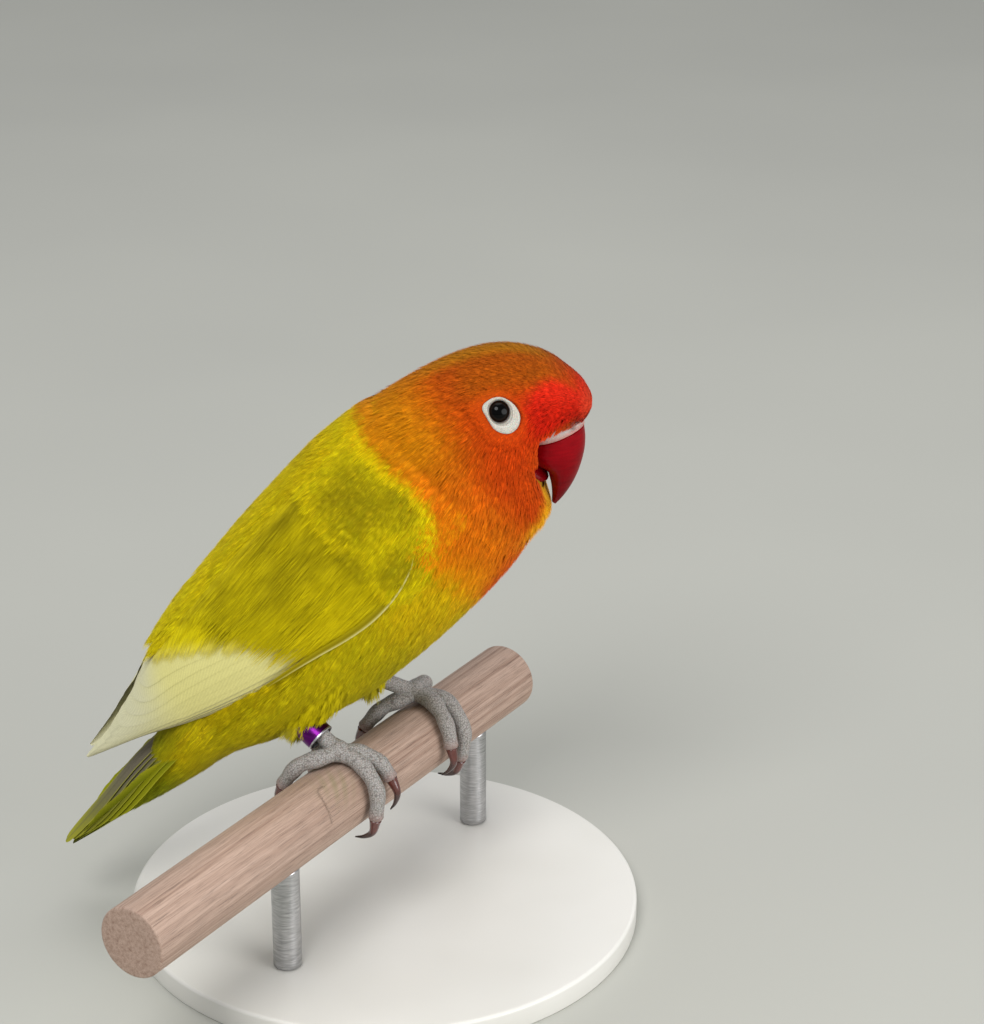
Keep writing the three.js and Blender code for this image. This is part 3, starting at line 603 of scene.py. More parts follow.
# The eye's seat on the head, as in the solids
eyeSettings = {"place": 11.15, "angle": 68.6, "radius": 3.2, "depth": 2.75,
               "openingLong": 1.95, "openingHigh": 2.12, "ringMiddle": (0.45, -0.7), "ringHeight": 0.42,
               "ringAngles": (-144.5, -104, -64, -38, -14.4, 22, 60, 100, 130, 159.2, 186),
               "ringReach": (2.75, 3.35, 4.2, 4.25, 4.0, 3.35, 3.12, 3.55, 3.75, 4.2, 3.0)}


def ringReach(turn):  # how far the bare ring goes at each angle round its middle
    fine = np.arange(-180, 180, 2.0)
    reach = np.interp(fine, eyeSettings["ringAngles"], eyeSettings["ringReach"], period=360)
    near = np.exp(-(np.abs(wrapped(fine[:, None] - fine[None, :])) / 9) ** 2)
    reach = near @ reach / near.sum(1)
    return np.interp(np.degrees(turn), fine, reach, period=360)


def eyeSeat(side):
    angle = np.array(sides[side] * eyeSettings["angle"])
    place = np.array(eyeSettings["place"])
    here, byPlace, byAngle = loftFrame(bodyStations, place, angle)
    look = unit(np.cross(byPlace, byAngle))
    look = look if look[1] * sides[side] > 0 else -look
    ahead = unit(np.array([1.0, 0, 0]) - look * look[0])
    above = np.cross(look, ahead) * (1 if side == "Right" else -1)
    above = above if above[2] > 0 else -above
    return here, look, ahead, above


# How far out from the eye, in ring sizes: below 1 is bare skin
def ringShare(point, side):
    here, look, ahead, above = eyeSeat(side)
    offset = point - here
    x = dot(offset, ahead) - eyeSettings["ringMiddle"][0]
    y = dot(offset, above) - eyeSettings["ringMiddle"][1]
    share = np.hypot(x, y) / ringReach(np.arctan2(y, x))
    return np.where(np.abs(dot(offset, look)) < 6, share, 9.0)


def nearestRing(point):
    return np.minimum.reduce([ringShare(point, side) for side in sides])


# Where the face's feathers stop round the bill, as an outline at the bill's side
faceOpening = np.array([[31.9, 69.8], [32.9, 71.2], [32.8, 73.6], [33.2, 75.6], [34.7, 76.7], [38.5, 78.45],
                        [41.7, 79.3], [47, 79.9], [47, 58], [36, 58.6], [35.15, 61.5],
                        [34.9, 64], [34, 66.1], [32.5, 67.6]])
openingSide = 4.6
openingSlope = 0.42


def openingDistance(point):  # inside is negative
    x = point[..., 0]
    z = point[..., 2] - openingSlope * (np.abs(point[..., 1]) - openingSide).clip(0)
    best = np.full(x.shape, 1e9)
    inside = np.zeros(x.shape, bool)
    nearest = np.stack([x, z], -1)
    for a, b in zip(faceOpening, np.roll(faceOpening, -1, 0)):
        edge = b - a
        share = np.clip(((x - a[0]) * edge[0] + (z - a[1]) * edge[1]) / (edge @ edge), 0, 1)
        px, pz = a[0] + share * edge[0], a[1] + share * edge[1]
        distance = np.hypot(x - px, z - pz)
        if a[0] < 46 and b[0] < 46:
            closer = distance < best
            best = np.where(closer, distance, best)
            nearest = np.where(closer[..., None], np.stack([px, pz], -1), nearest)
        crosses = (a[1] > z) != (b[1] > z)
        with np.errstate(divide="ignore", invalid="ignore"):
            at = a[0] + (z - a[1]) / (b[1] - a[1]) * (b[0] - a[0])
        inside ^= crosses & (x < at)
    return np.where(inside, -best, best), nearest


print("materials for the feathers")
coatMaterial = makeFeatherMaterial("coatFeathers")
vaneMaterial = makeFeatherMaterial("flightFeathers", barbs=260.0)
skinMaterial = makeFeatherMaterial("featherBed")

print("skin under the feathers")
skinSettings = {"inset": 1.7, "underWing": 2.0, "socket": 1.6, "shade": 0.6, "lengthSteps": 220,
                "aroundSteps": 144}


def wingCovers(place, angle):
    side = sideOf(angle)
    return window(place, 2.4, 3.4, 8.0, 8.6) * window(side, 18, 30, 108, 118)


def makeSkin():
    place = np.linspace(0.05, 15, skinSettings["lengthSteps"])[:, None]
    angle = np.linspace(-180, 180, skinSettings["aroundSteps"], endpoint=False)[None, :]
    inset = skinSettings["inset"] * np.minimum(1, ramp(place, -0.6, 2.0) * ramp(15.6 - place, 0, 1.4))
    inset = inset + skinSettings["underWing"] * wingCovers(place, angle)
    rings = loftPoint(bodyStations, place, angle, -inset)
    distance, nearest = openingDistance(rings)
    within = distance < 0.5
    sideways = openingSlope * (np.abs(rings[..., 1]) - openingSide).clip(0)
    rings[..., 0] = np.where(within, nearest[..., 0] - 0.5, rings[..., 0])
    rings[..., 2] = np.where(within, nearest[..., 1] + sideways + 0.2, rings[..., 2])
    for side in sides:  # the sockets
        look = eyeSeat(side)[1]
        share = ringShare(rings, side)
        rings = rings - look * (skinSettings["socket"] * (1 - ramp(share, 0.35, 0.9)))[..., None]
    bake = np.stack(np.broadcast_arrays(place / 15, (angle + 180) / 360), -1)
    return makeSolid("skin", toFrame(rings), skinMaterial, "body_feathers", ["head", "neck", "torso"],
                     tint=bodyTint(place, angle) * skinSettings["shade"], bakePlace=withEnds(bake, 2))


makeSkin()


# The lie of the coat: degrees that feathers turn from straight back towards the belly
def bodyFlow(place, angle):
    side = sideOf(angle)
    cheek = window(place, 9.6, 10.8, 12.4, 13.6) * window(side, 62, 100, 146, 176)
    breast = window(place, 4, 6, 8.4, 9.8) * window(side, 85, 110, 153, 178)
    return 34 * cheek + 12 * breast


def clearOfFace(place, angle):
    point = loftPoint(bodyStations, place, angle)
    return (openingDistance(point)[0] > 0.25) & (nearestRing(point) > 0.95)


def sizeOnFace(place, angle):
    point = loftPoint(bodyStations, place, angle)
    byOpening = np.clip(0.62 + 0.38 * ramp(openingDistance(point)[0], 0, 5), 0, 1)
    return byOpening * (0.6 + 0.4 * ramp(nearestRing(point), 1.0, 1.7))


# The coat sinks to clear the wing, rises between the wings' upper edges, and drapes over their front
def coatLift(place, angle, along):
    side = sideOf(angle)
    over = window(place, 8.5, 8.7, 9.8, 10.3) * window(side, 20, 34, 114, 126)
    mantle = ramp(58 - side, 0, 12) * window(place, 6.6, 7.8, 8.6, 9.6)
    chin = ramp(side, 118, 150) * window(place, 9.7, 10.7, 11.6, 11.9)
    covered = wingCovers(place, angle) * window(side, 44, 58, 92, 104) * ramp(place, 3.4, 4.2)
    point = loftPoint(bodyStations, place, angle)
    clear = np.minimum(ramp(nearestRing(point), 1.0, 1.5), ramp(openingDistance(point)[0], 0.2, 1.2))
    swell = 0.45 + 0.55 * along
    drape = np.maximum(1.45 * perStrand(over) * along ** 1.3, 1.3 * perStrand(mantle) * swell)
    rise = 1.75 * perStrand(chin) * swell + 0.9 * perStrand(1 - clear) * (1 - along).clip(0)
    return drape + rise - perStrand(1.5 * covered * (1 - over))


coatBase = {"splay": 0.55, "stray": 4, "bend": 0.2, "camber": 0.10, "ruffle": 0.07, "vary": 0.055,
            "strandVary": 0.13, "rootShade": 0.77, "root": -1.5, "tip": 0.05, "cover": 13.0, "lowest": 0.1,
            "at": (0, 1.5, 5, 7.5, 8.8, 9.8, 10.8, 11.8, 12.8, 13.8, 15),
            "length": (5.0, 6.4, 6.2, 5.8, 4.9, 4.0, 3.1, 2.5, 2.1, 1.6, 1.1),
            "width": (2.0, 2.4, 2.3, 2.1, 1.8, 1.45, 1.15, 0.95, 0.82, 0.68, 0.5)}
coatSettings = {
    "coatForehead": {"eyes": True, "seed": 11, "places": (12.3, 15.0), "angles": (-180, 180), "strands": 5,
                     "root": -1.1, "ruffle": 0.05, "sizeAt": sizeOnFace, "slot": "face_feathers"},
    "coatCrown": {"eyes": True, "seed": 12, "places": (10.6, 12.3), "angles": (-80, 80), "strands": 5,
                  "sizeAt": sizeOnFace, "slot": "face_feathers"},
    "coatFace": {"eyes": True, "seed": 13, "places": (10.6, 12.3), "angles": (80, 280), "strands": 5,
                 "sizeAt": sizeOnFace, "slot": "face_feathers"},
    "coatNape": {"seed": 14, "places": (9.2, 10.6), "angles": (-90, 90), "strands": 7,
                 "slot": "face_feathers"},
    "coatThroat": {"seed": 15, "places": (9.2, 10.6), "angles": (90, 270), "strands": 7,
                   "slot": "face_feathers"},
    "coatCollar": {"seed": 16, "places": (7.9, 9.2), "angles": (-180, 180), "strands": 9,
                   "slot": "collar_feathers"},
    "coatMantle": {"seed": 17, "places": (3.0, 7.9), "angles": (-56, 56), "strands": 10, "cover": 15,
                   "slot": "body_feathers"},
    "coatBreast": {"seed": 18, "places": (5.6, 7.9), "angles": (78, 282), "strands": 11, "cover": 18,
                   "slot": "body_feathers"},
    "coatBelly": {"seed": 19, "places": (2.8, 5.6), "angles": (74, 286), "strands": 11, "cover": 18,
                  "ruffle": 0.1, "slot": "body_feathers"},
    "coatRump": {"seed": 20, "places": (0.15, 3.7), "angles": (-180, 180), "strands": 11, "cover": 15,
                 "root": -1.2, "tip": 0.1, "slot": "body_feathers"},
}

print("coat of the head and body")
for pieceName, settings in coatSettings.items():
    growCoat(pieceName, bodyStations, {**coatBase, "liftAt": coatLift, **settings}, bodyTint, bodyFlow,
             keep=clearOfFace if settings["places"][1] > 9 else None)


# Short dense tufts close the coat round the bare lids
fringeSettings = {**coatBase, "liftAt": coatLift, "seed": 35, "places": (10.3, 12.1), "angles": (-180, 180),
                  "strands": 5, "cover": 24, "at": (0, 15), "length": (1.5, 1.5), "width": (0.7, 0.7),
                  "root": -0.6, "tip": 0.0, "ruffle": 0.03, "eyes": True, "slot": "face_feathers"}


def besideLids(place, angle):
    near = nearestRing(loftPoint(bodyStations, place, angle))
    return (near > 0.93) & (near < 1.5)


growCoat("lidFringe", bodyStations, fringeSettings, bodyTint, bodyFlow, keep=besideLids)


# Long feathers lie from a root to a tip on the wing's loft; lower edges stand over what is below
wingLimits = {"top": 20.0, "bottom": 128.0, "soft": 9.0}


def squeezed(place, angle):  # keeps feathers off the line where both wings meet, and above the lower edge
    bottom, soft = wingLimits["bottom"], wingLimits["soft"]
    half = sampleRows(wingStations, place)[0][..., 4]
    clearance = np.degrees(np.arcsin(np.clip(0.5 / half, 0, 1)))
    least = np.maximum(clearance, blend(0, wingLimits["top"], (place - 3.5) / 2.5)) + 0 * angle
    low = least + soft * np.exp(np.minimum(0, (angle - least - soft) / soft))
    high = bottom - soft * np.exp(np.minimum(0, (bottom - soft - angle) / soft))
    return np.where(angle < least + soft, low, np.where(angle > bottom - soft, high, angle))


def layOnWing(side, root, tip, along, q, lift):
    sign = sides[side]
    place, angle = [blend(root[:, i, None], tip[:, i, None], along) for i in (0, 1)]
    here = loftPoint(wingStations, place, sign * angle)
    byPlace = (loftPoint(wingStations, place + 0.02, sign * angle) - here) / 0.02
    byAngle = (loftPoint(wingStations, place, sign * (angle + 0.5)) - here) / 0.5
    run = (tip - root)[:, None, None]
    course = unit(byPlace * run[..., 0] + byAngle * run[..., 1])
    across = np.cross(unit(np.cross(byPlace, byAngle)), course)
    across = across * np.where(dot(across, byAngle) < 0, -1.0, 1.0)[..., None]
    steps, turns = onLoft(byPlace, byAngle, across)
    place = place + steps * q
    angle = squeezed(place, angle + turns * q)
    lift = lift - 0.8 * ramp(38 - angle, 0, 16)
    return place, angle, toFrame(loftPoint(wingStations, place, sign * angle, lift))


def vaneOutline(s, blunt=0.32):
    return np.where(s < 1 - blunt + 0.02, blend(0.72, 1.0, np.clip(s / 0.7, 0, 1)),
                    np.sqrt(np.clip(1 - ((s - (1 - blunt)) / (blunt + 0.005)) ** 2, 0, 1)))


# Tiers of one wing. Roots and tips give place and angle, lowest feather first; a pack above 1 draws
# the feathers together at the lower edge.
wingTierSettings = {
    "primaries": {
        "count": 13, "halfWidth": (3.4, 6.2), "lift": -1.15, "tilt": 0.42, "pack": 2.1, "curve": 1.2,
        "roots": ((5.6, 120), (3.6, 58)), "tips": ((0.05, 100), (1.7, 20))},
    "secondaries": {
        "count": 9, "halfWidth": (3.4, 5.6), "lift": -0.75, "tilt": 0.25, "pack": 1.0, "curve": 0.8,
        "roots": ((6.8, 112), (4.6, 30)), "tips": ((5.3, 112), (2.1, 24)),
        "barbs": 96, "olive": 0.4, "cream": 0.5},
    "greaterCoverts": {
        "count": 11, "halfWidth": (3.0, 4.8), "lift": -0.5, "tilt": 0.22, "pack": 1.0, "curve": 0.8,
        "roots": ((6.9, 110), (5.2, 30)), "tips": ((5.6, 112), (3.1, 24)),
        "barbs": 80, "olive": 0.8, "cream": 0.0},
}
vaneGrid = (48, 13)  # points along and across a smooth vane


def vaneColumns():
    return np.sin(np.linspace(-1, 1, vaneGrid[1]) * math.pi / 2)


def primaryTint(along, v, share):
    hues, low = plumage, 1 - share
    olive = 0.3 * ramp(0.38 - along, 0, 0.2) * window(low, 0.6, 0.95, 0.975, 0.985)
    # a grey line along each primary's lower edge: partly the feather's dark edge, partly painted shadow
    # where the feathers overlap
    line = 0.8 * ramp(v, 0.86, 0.99) * window(low, 0.66, 0.88, 0.993, 0.997)
    return layered(
        hues["cream"], along.shape,
        (hues["creamTip"], 0.8 * ramp(along, 0.55, 1.0)),
        (hues["olive"], olive),
        (hues["greyLine"], line),
        (hues["edgeGrey"], 0.55 * ramp(-v, 0.55, 1.0) * ramp(share, 0.5, 1.0)),
        (hues["greyLine"], 0.25 * hump(v, 0, 0.06) * ramp(low, 0.3, 0.8)))


def unevenStrands(tint, rng):  # every strand of five points a little lighter or darker
    gain = np.exp(rng.normal(0, 0.07, (tint.size // 15, 1)))
    return tint * np.repeat(gain, 5, 0).reshape(*tint.shape[:-1], 1)


def makeWingTier(side, tierName, tier, seed):
    rng = np.random.default_rng(seed)
    count = tier["count"]
    smoothVanes = "barbs" not in tier
    share = np.linspace(0, 1, count)[:, None] ** tier["pack"]
    root = blend(*np.array(tier["roots"], float), share)
    tip = blend(*np.array(tier["tips"], float), np.concatenate([share ** tier["curve"], share], 1))
    tip[:, 0] += rng.normal(0, 0.03, count).clip(0)
    half = blend(*tier["halfWidth"], share)
    if smoothVanes:
        s = np.linspace(0, 1, vaneGrid[0])[:, None] ** 0.9 + 0 * vaneColumns()
        along = np.broadcast_to(s.ravel(), (count, s.size))
        v = np.broadcast_to((vaneColumns() + 0 * s).ravel(), along.shape)
        edge = 1 + rng.normal(0, 0.006, (count, vaneGrid[0], 1)) * np.ones(vaneGrid[1])
        q = v * half * vaneOutline(along, 0.22) * edge.reshape(along.shape)
        upper = ramp(share, 0.1, 0.5)
        shaft = 0.07 * hump(v, 0, 0.1) * (1 - 0.6 * along) * (1 - upper)
        lift = tier["lift"] + tier["tilt"] * q / half * (1 - 0.7 * upper) + shaft + 0.25 * share
    else:
        shapes = np.stack([plumeTemplate(tier["barbs"], rng) for _ in range(count)])
        along, v = shapes[..., 0].reshape(count, -1), shapes[..., 1].reshape(count, -1)
        q = v * half * (0.9 + 0.1 * along)
        lift = tier["lift"] + tier["tilt"] * v + rng.normal(0, 0.012, along.shape) - 0.5 * (1 - along) ** 2
    place, angle, points = layOnWing(side, root, tip, along, q, lift)
    if smoothVanes:
        tint = primaryTint(along, v, share)
    else:
        olive = rng.uniform(0.1, 0.7, (count, 1)) * tier["olive"]
        tint = layered(
            wingTint(place, sides[side] * angle), along.shape,
            (plumage["olive"], olive * ramp(0.8 - np.abs(v), 0, 0.5) * ramp(0.92 - along, 0, 0.4)),
            (plumage["covertPale"], 0.6 * ramp(along, 0.8, 1.0)),
            (plumage["cream"], tier["cream"] * ramp(along, 0.75, 1.0) * ramp(share, 0.1, 0.5)))
    tint = tint * np.exp(rng.normal(0, 0.03, (count, 1, 1)))
    tint = tint if smoothVanes else unevenStrands(tint, rng)
    faces = [sheetQuads(count, *vaneGrid)] if smoothVanes else strandFaces(along.size // 5)
    number = np.arange(count)[:, None]
    bake = np.stack([0.01 + (number + 0.5 + 0.45 * v) / (count + 0.5), 0.02 + 0.95 * along], -1)
    return makePiece(f"{tierName}{side}", points, faces, vaneMaterial if smoothVanes else coatMaterial,
                     "wing_feathers", [f"wing_{side.lower()}"] if tierName == "primaries" else (),
                     tint=tint, bakePlace=bake, layers={"vane": np.stack([v, along, 0 * v], -1)})


# The smaller coverts: rows of soft rounded feathers laid like scales, each row over the one behind
scaleSettings = {"rows": 12, "columns": 17, "places": (4.6, 6.95), "angles": (26, 117),
                 "length": (1.25, 0.6), "halfWidth": (3.5, 2.2), "strands": 27, "lift": (-0.25, 0.3),
                 "rise": 0.08, "camber": 0.16}


def makeCovertScales(side, seed):
    look = scaleSettings
    rng = np.random.default_rng(seed)
    row, column = np.divmod(np.arange(look["rows"] * look["columns"]), look["columns"])
    count = len(row)
    front = (row + rng.normal(0, 0.3, count)) / (look["rows"] - 1)
    around = (column + 0.5 * (row % 2) + rng.normal(0, 0.2, count)) / (look["columns"] - 0.5)
    tipPlace = blend(*look["places"], front) - blend(0.9, 0.35, front)
    tipPlace = tipPlace - 0.55 * (1 - around) * (1 - front) + 0.5 * around * (1 - front)
    tipAngle = blend(*look["angles"], around)
    length = blend(*look["length"], front) * rng.uniform(0.9, 1.15, count)
    root = np.stack([np.minimum(tipPlace + length, 7.2), tipAngle - 4], -1)
    tip = np.stack([tipPlace, tipAngle + 2 + rng.normal(0, 1.5, count)], -1)
    half = blend(*look["halfWidth"], front) * rng.uniform(0.9, 1.15, count)
    shapes = np.stack([tuftTemplate(look["strands"], 0.35, rng) for _ in range(count)])
    along, v = shapes[..., 0].reshape(count, -1).clip(0, 1.1), shapes[..., 1].reshape(count, -1)
    lift = blend(*look["lift"], front)[:, None] + look["rise"] * along - look["camber"] * v ** 2
    lift = lift + 0.06 * v + rng.normal(0, 0.01, along.shape) - 0.8 * (1 - along).clip(0) ** 2
    place, angle, points = layOnWing(side, root, tip, along, v * half[:, None], lift)
    centre = ramp(0.95 - np.abs(v), 0, 0.6) * ramp(0.95 - along, 0, 0.45) * ramp(7.0 - place, 0, 0.5)
    patch = ramp(rng.random(count) + 0.25 * np.sin(around * 17 + front * 9), 0.35, 0.9)
    front, around = front[:, None], around[:, None]
    tint = layered(
        wingTint(place, sides[side] * angle), along.shape,
        (plumage["oliveDeep"], 0.6 * centre * patch[:, None]),
        (plumage["covertPale"], 0.35 * ramp(along, 0.78, 1.0) * ramp(0.8 - front, 0, 0.5)))
    tint = unevenStrands(tint * np.exp(rng.normal(0, 0.03, (count, 1, 1))), rng)
    bake = np.stack([0.02 + 0.94 * front.clip(0, 1) + 0.0015 * v, 0.02 + 0.94 * around + 0.003 * along], -1)
    return makePiece(f"covertScales{side}", points, strandFaces(count * look["strands"]), coatMaterial,
                     "wing_feathers", tint=tint, bakePlace=bake)


# The folded wing's lower edge: an olive strip with a bright cream rim, partly the pale edge of the feathers
# and partly a painted highlight
edgeSettings = {"path": np.array([[3.7, 113], [4.2, 111.5], [4.6, 111.5], [5.0, 112.5], [5.4, 112],
                                  [5.85, 108.5], [6.3, 103], [6.5, 99]]),
                "halfWidth": 2.3, "lift": 0.25, "steps": 90, "columns": 9}


def makeWingEdge(side):
    steps, columns = edgeSettings["steps"], edgeSettings["columns"]
    at = sampleRows(edgeSettings["path"], np.linspace(0, 6.98, steps))[0]
    s = np.linspace(0, 1, steps)[:, None]
    v = np.linspace(-1, 1, columns)[None, :]
    narrow = np.sin(np.linspace(0.06, 0.97, steps) * math.pi)[:, None] ** 0.6
    place = at[:, :1] + 0 * v
    angle = at[:, 1:] + v * edgeSettings["halfWidth"] * narrow
    lift = edgeSettings["lift"] * (0.5 + 0.5 * v) + 0.12 * hump(v, 0.75, 0.25)
    # the cream rim is partly the pale feather edge and partly a painted highlight along it
    tint = layered(
        plumage["olive"], place.shape,
        (plumage["oliveDeep"], hump(v, 0.05, 0.6)),
        (plumage["cream"], 0.7 * ramp(v, 0.42, 0.66) * ramp(narrow, 0.3, 0.9)))
    points = toFrame(loftPoint(wingStations, place, sides[side] * angle, lift))
    v, s = v + 0 * s, s + 0 * v
    return makePiece(f"wingEdge{side}", points, [gridQuads(steps, columns)], vaneMaterial, "wing_feathers",
                     tint=tint, bakePlace=np.stack([0.02 + 0.96 * s, 0.5 + 0.1 * v], -1),
                     layers={"vane": np.stack([v, s, 0 * s], -1)})


print("wings")
for number, side in enumerate(sides):
    for k, (tierName, tier) in enumerate(wingTierSettings.items()):
        makeWingTier(side, tierName, tier, 40 + 10 * number + k)
    makeCovertScales(side, 70 + number)
    makeWingEdge(side)


# Small feathers over the wrist and the front of the wing
def wingFlow(place, angle):
    return 4 + 8 * ramp(sideOf(angle), 60, 110)


def wingCoatLift(place, angle, along):
    side = sideOf(angle)
    return perStrand(-0.7 * ramp(40 - side, 0, 18) - 0.8 * ramp(side, 108, 118)) + 0 * along


wristSettings = {**coatBase, "liftAt": wingCoatLift, "places": (5.9, 7.7), "strands": 9, "at": (0, 6, 7.5),
                 "length": (4.2, 4.2, 3.6), "width": (1.9, 1.9, 1.6), "cover": 12, "root": -0.8,
                 "tip": 0.45, "slot": "wing_feathers"}
for number, side in enumerate(sides):
    span = (24, 120) if side == "Left" else (-120, -24)
    growCoat(f"wristCoverts{side}", wingStations, {**wristSettings, "seed": 61 + number, "angles": span},
             wingTint, wingFlow)


# A row of feathers down the back, over the place where both wings meet
def backFlow(place, angle):
    return np.zeros(len(place))


def backLift(place, angle, along):
    return perStrand(-0.25 - 0.5 * ramp(sideOf(angle), 14, 30)) + 0 * along


backSettings = {**coatBase, "liftAt": backLift, "seed": 71, "places": (2.5, 7.6), "angles": (-30, 30),
                "strands": 10, "at": (0, 4, 6, 7.5), "length": (6.4, 6.4, 4.6, 3.8),
                "width": (2.4, 2.4, 2.0, 1.7), "cover": 14, "root": -1.2, "tip": 0.1, "stray": 3,
                "ruffle": 0.03, "slot": "wing_feathers"}
growCoat("backCoverts", wingStations, backSettings, wingTint, backFlow)

# The tail under a roof-shaped ridge line, with the solids' places
tailSettings = {"ridge": np.array([[-39.8, 12.3], [-45.5, 8.5], [-53, 1], [-61, -9], [-69, -18.4]]),
                "pairs": 6, "middle": 0.7, "spread": 1.1, "fan": (0.8, 1.15), "halfWidth": 3.0,
                "roof": 0.02, "step": 0.32, "twist": 0.12, "shorten": 0.065, "leftDrop": 0.2,
                "bake": (0.16, 0.14)}

# Long feathers under the tail, shaped like a hull round the body's end and running out to its tip
underTailSettings = {"ridge": np.array([[-37, 1.6], [-43.5, -3.6], [-50, -8.3], [-56.5, -12.3],
                                        [-62, -15.9], [-67.5, -19.3]]),
                     "pairs": 4, "middle": 0.5, "spread": 1.5, "fan": (1.25, 0.6), "halfWidth": 3.0,
                     "hull": 0.13, "step": -0.24, "shorten": 0.05, "bake": (0.24, 0.2)}


def tailGrid(settings, ragged, rng):  # each vane's number, the places along and across, and its rough edge
    number = np.arange(settings["pairs"])[:, None, None]
    s = np.linspace(0, 1, vaneGrid[0])[None, :, None]
    edge = 1 + rng.normal(0, ragged, (settings["pairs"], vaneGrid[0], 1))
    return number, s, vaneColumns()[None, None, :], edge


def makeTailVanes(name, side, settings, number, s, v, lateral, fall, coats, nodes=()):
    ridge = settings["ridge"]
    place = s * (1 - settings["shorten"] * number) * (len(ridge) - 1)
    at, slope = sampleRows(ridge, place[..., 0])
    slope = unit(slope)
    points = np.stack([at[..., :1] - slope[..., 1:] * fall, sides[side] * lateral,
                       at[..., 1:] + slope[..., :1] * fall], -1)
    s, v = s + 0 * lateral, v + 0 * lateral
    apart, wide = settings["bake"]
    bake = np.stack([0.02 + apart * number + wide * (v * 0.5 + 0.5), 0.02 + 0.96 * s], -1)
    return makePiece(name + side, toFrame(points), [sheetQuads(settings["pairs"], *vaneGrid)], vaneMaterial,
                     "tail_feathers", nodes, tint=layered(coats[0], lateral.shape, *coats[1:]),
                     bakePlace=bake, layers={"vane": np.stack([v, s, 0 * v], -1)})


def makeTail(side):
    look, hues = tailSettings, plumage
    number, s, v, edge = tailGrid(look, 0.01, np.random.default_rng(80 + sides[side]))
    middle = (look["middle"] + number * look["spread"]) * blend(*look["fan"], s)
    lateral = middle + v * look["halfWidth"] * vaneOutline(s, 0.3) * edge
    fall = look["roof"] * lateral ** 2 + look["step"] * number
    fall = fall - look["twist"] * sides[side] * lateral + (look["leftDrop"] if side == "Left" else 0)
    fall = fall - 0.10 * hump(v, 0, 0.12) + 0.03 * np.sin(s * 9 + number)
    makeTailVanes("tailFeathers", side, look, number, s, v, lateral, fall, (
        hues["tailGreen"],
        (hues["tailGrey"], ramp(4.0 - number, 0, 2.5) * (1 - 0.75 * ramp(s, 0.5, 0.95))),
        (hues["tailEdge"], 0.55 * ramp(s, 0.75, 1.0) * ramp(1.5 - number, 0, 1)),
        (hues["tailEdge"], 0.7 * ramp(np.abs(v), 0.84, 0.96)),
        (hues["greyLine"] * 0.5, 0.5 * hump(v, 0, 0.08))), ["tail"])


def makeUnderTail(side):
    look, hues = underTailSettings, plumage
    number, s, v, edge = tailGrid(look, 0.012, np.random.default_rng(84 + sides[side]))
    narrow = blend(*look["fan"], s)
    lateral = (look["middle"] + number * look["spread"]) * narrow
    lateral = lateral + v * look["halfWidth"] * narrow * vaneOutline(s, 0.35) * edge
    buried = 1 - ramp(s, 0, 0.34)
    lateral = lateral * (1 - 0.45 * buried)
    fall = -look["hull"] * lateral ** 2 + look["step"] * number - 3.2 * buried
    makeTailVanes("underTail", side, look, number, s, v, lateral, fall, (
        hues["undertail"],
        (hues["flank"], ramp(0.35 - s, 0, 0.35)),
        (hues["tailEdge"], 0.5 * ramp(np.abs(v), 0.8, 0.96)),
        (hues["tailGreen"] * 0.6, 0.35 * hump(v, 0, 0.1))))


print("tail")
for make in (makeUnderTail, makeTail):
    for side in sides:
        make(side)

# Horn, bare skin, eyes
print("bill, cere and eyes")
billSections = np.array([
    [42.1, 77.9, 30.2, 74.4, 6.1], [42.4, 75.2, 30, 72, 6], [42.2, 72.2, 31.4, 70.2, 5.5],
    [41.3, 68.6, 34.3, 68.5, 4.4], [39.9, 65.2, 35.3, 66, 3.1], [38.1, 62.3, 35.7, 63.3, 1.8],
    [36.5, 60.4, 35.7, 61, 0.5]])
cereSections = np.array([[40.6, 80.9, 29.6, 77.4, 6.3], [42.2, 78.3, 30.2, 74.8, 6.5]])
lowerBillSections = np.array([[31.2, 71.8, 27.6, 67.2, 4.4], [33.4, 69.5, 30.4, 65.9, 4.0],
                              [34.6, 67.8, 32.9, 65.8, 3.0], [35, 66.6, 34.2, 65.9, 1.6]])


def billRings(sections, steps, around):
    place = np.linspace(0, len(sections) - 1, steps)
    at = sampleRows(sections, place)[0]
    ridge, edge = at[:, 0:2], at[:, 2:4]
    middle, reach = (ridge + edge) / 2, (ridge - edge) / 2
    turn = circle(around)
    along = np.cos(turn)[None, :]
    wide = np.sin(turn) * (1 - 0.18 * np.cos(turn)) * at[:, 4:5]
    flat = middle[:, None] + reach[:, None] * along[..., None]
    return np.stack([flat[..., 0], wide, flat[..., 1]], -1), place, turn


def makeHornMaterial():
    material, tree, shader = newMaterial("billHorn", {
        "Roughness": 0.38, "Coat Weight": 0.07, "Coat Roughness": 0.06, "Specular IOR Level": 0.05,
        "Subsurface Weight": 0.08, "Subsurface Scale": 0.002})
    shader.inputs["Subsurface Radius"].default_value = (1.0, 0.2, 0.1)
    lines = noise(tree, objectPlace(tree, (260, 260, 1500)), 1.0, 4.0)
    painted = shaded(tree, attributeNode(tree, "tint", "Color"), lines, 0.35, 0.65, 0.78)
    tree.links.new(painted, shader.inputs["Base Color"])
    addBump(tree, shader, lines, 0.18, 0.00004)
    return material


hornMaterial = makeHornMaterial()
billColours = {"base": paint(142, 1, 14), "tip": paint(108, 0, 8), "edge": paint(170, 40, 44)}


def makeBill(name, sections, nodeName, steps=64, around=56):
    rings, place, turn = billRings(sections, steps, around)
    share = (place / (len(sections) - 1))[:, None]
    rear = ramp(-np.cos(turn), 0.55, 0.95) * window(share, 0.25, 0.4, 0.6, 0.8)
    tint = layered(billColours["base"], rings.shape[:2], (billColours["tip"], ramp(share, 0.1, 0.9)),
                   (billColours["edge"], 0.4 * rear))
    return makeSolid(name, toFrame(rings), hornMaterial, "bill", [nodeName], tint=tint)


makeBill("upperBill", billSections, "bill_upper")
makeBill("lowerBill", lowerBillSections, "bill_lower", 30, 40)


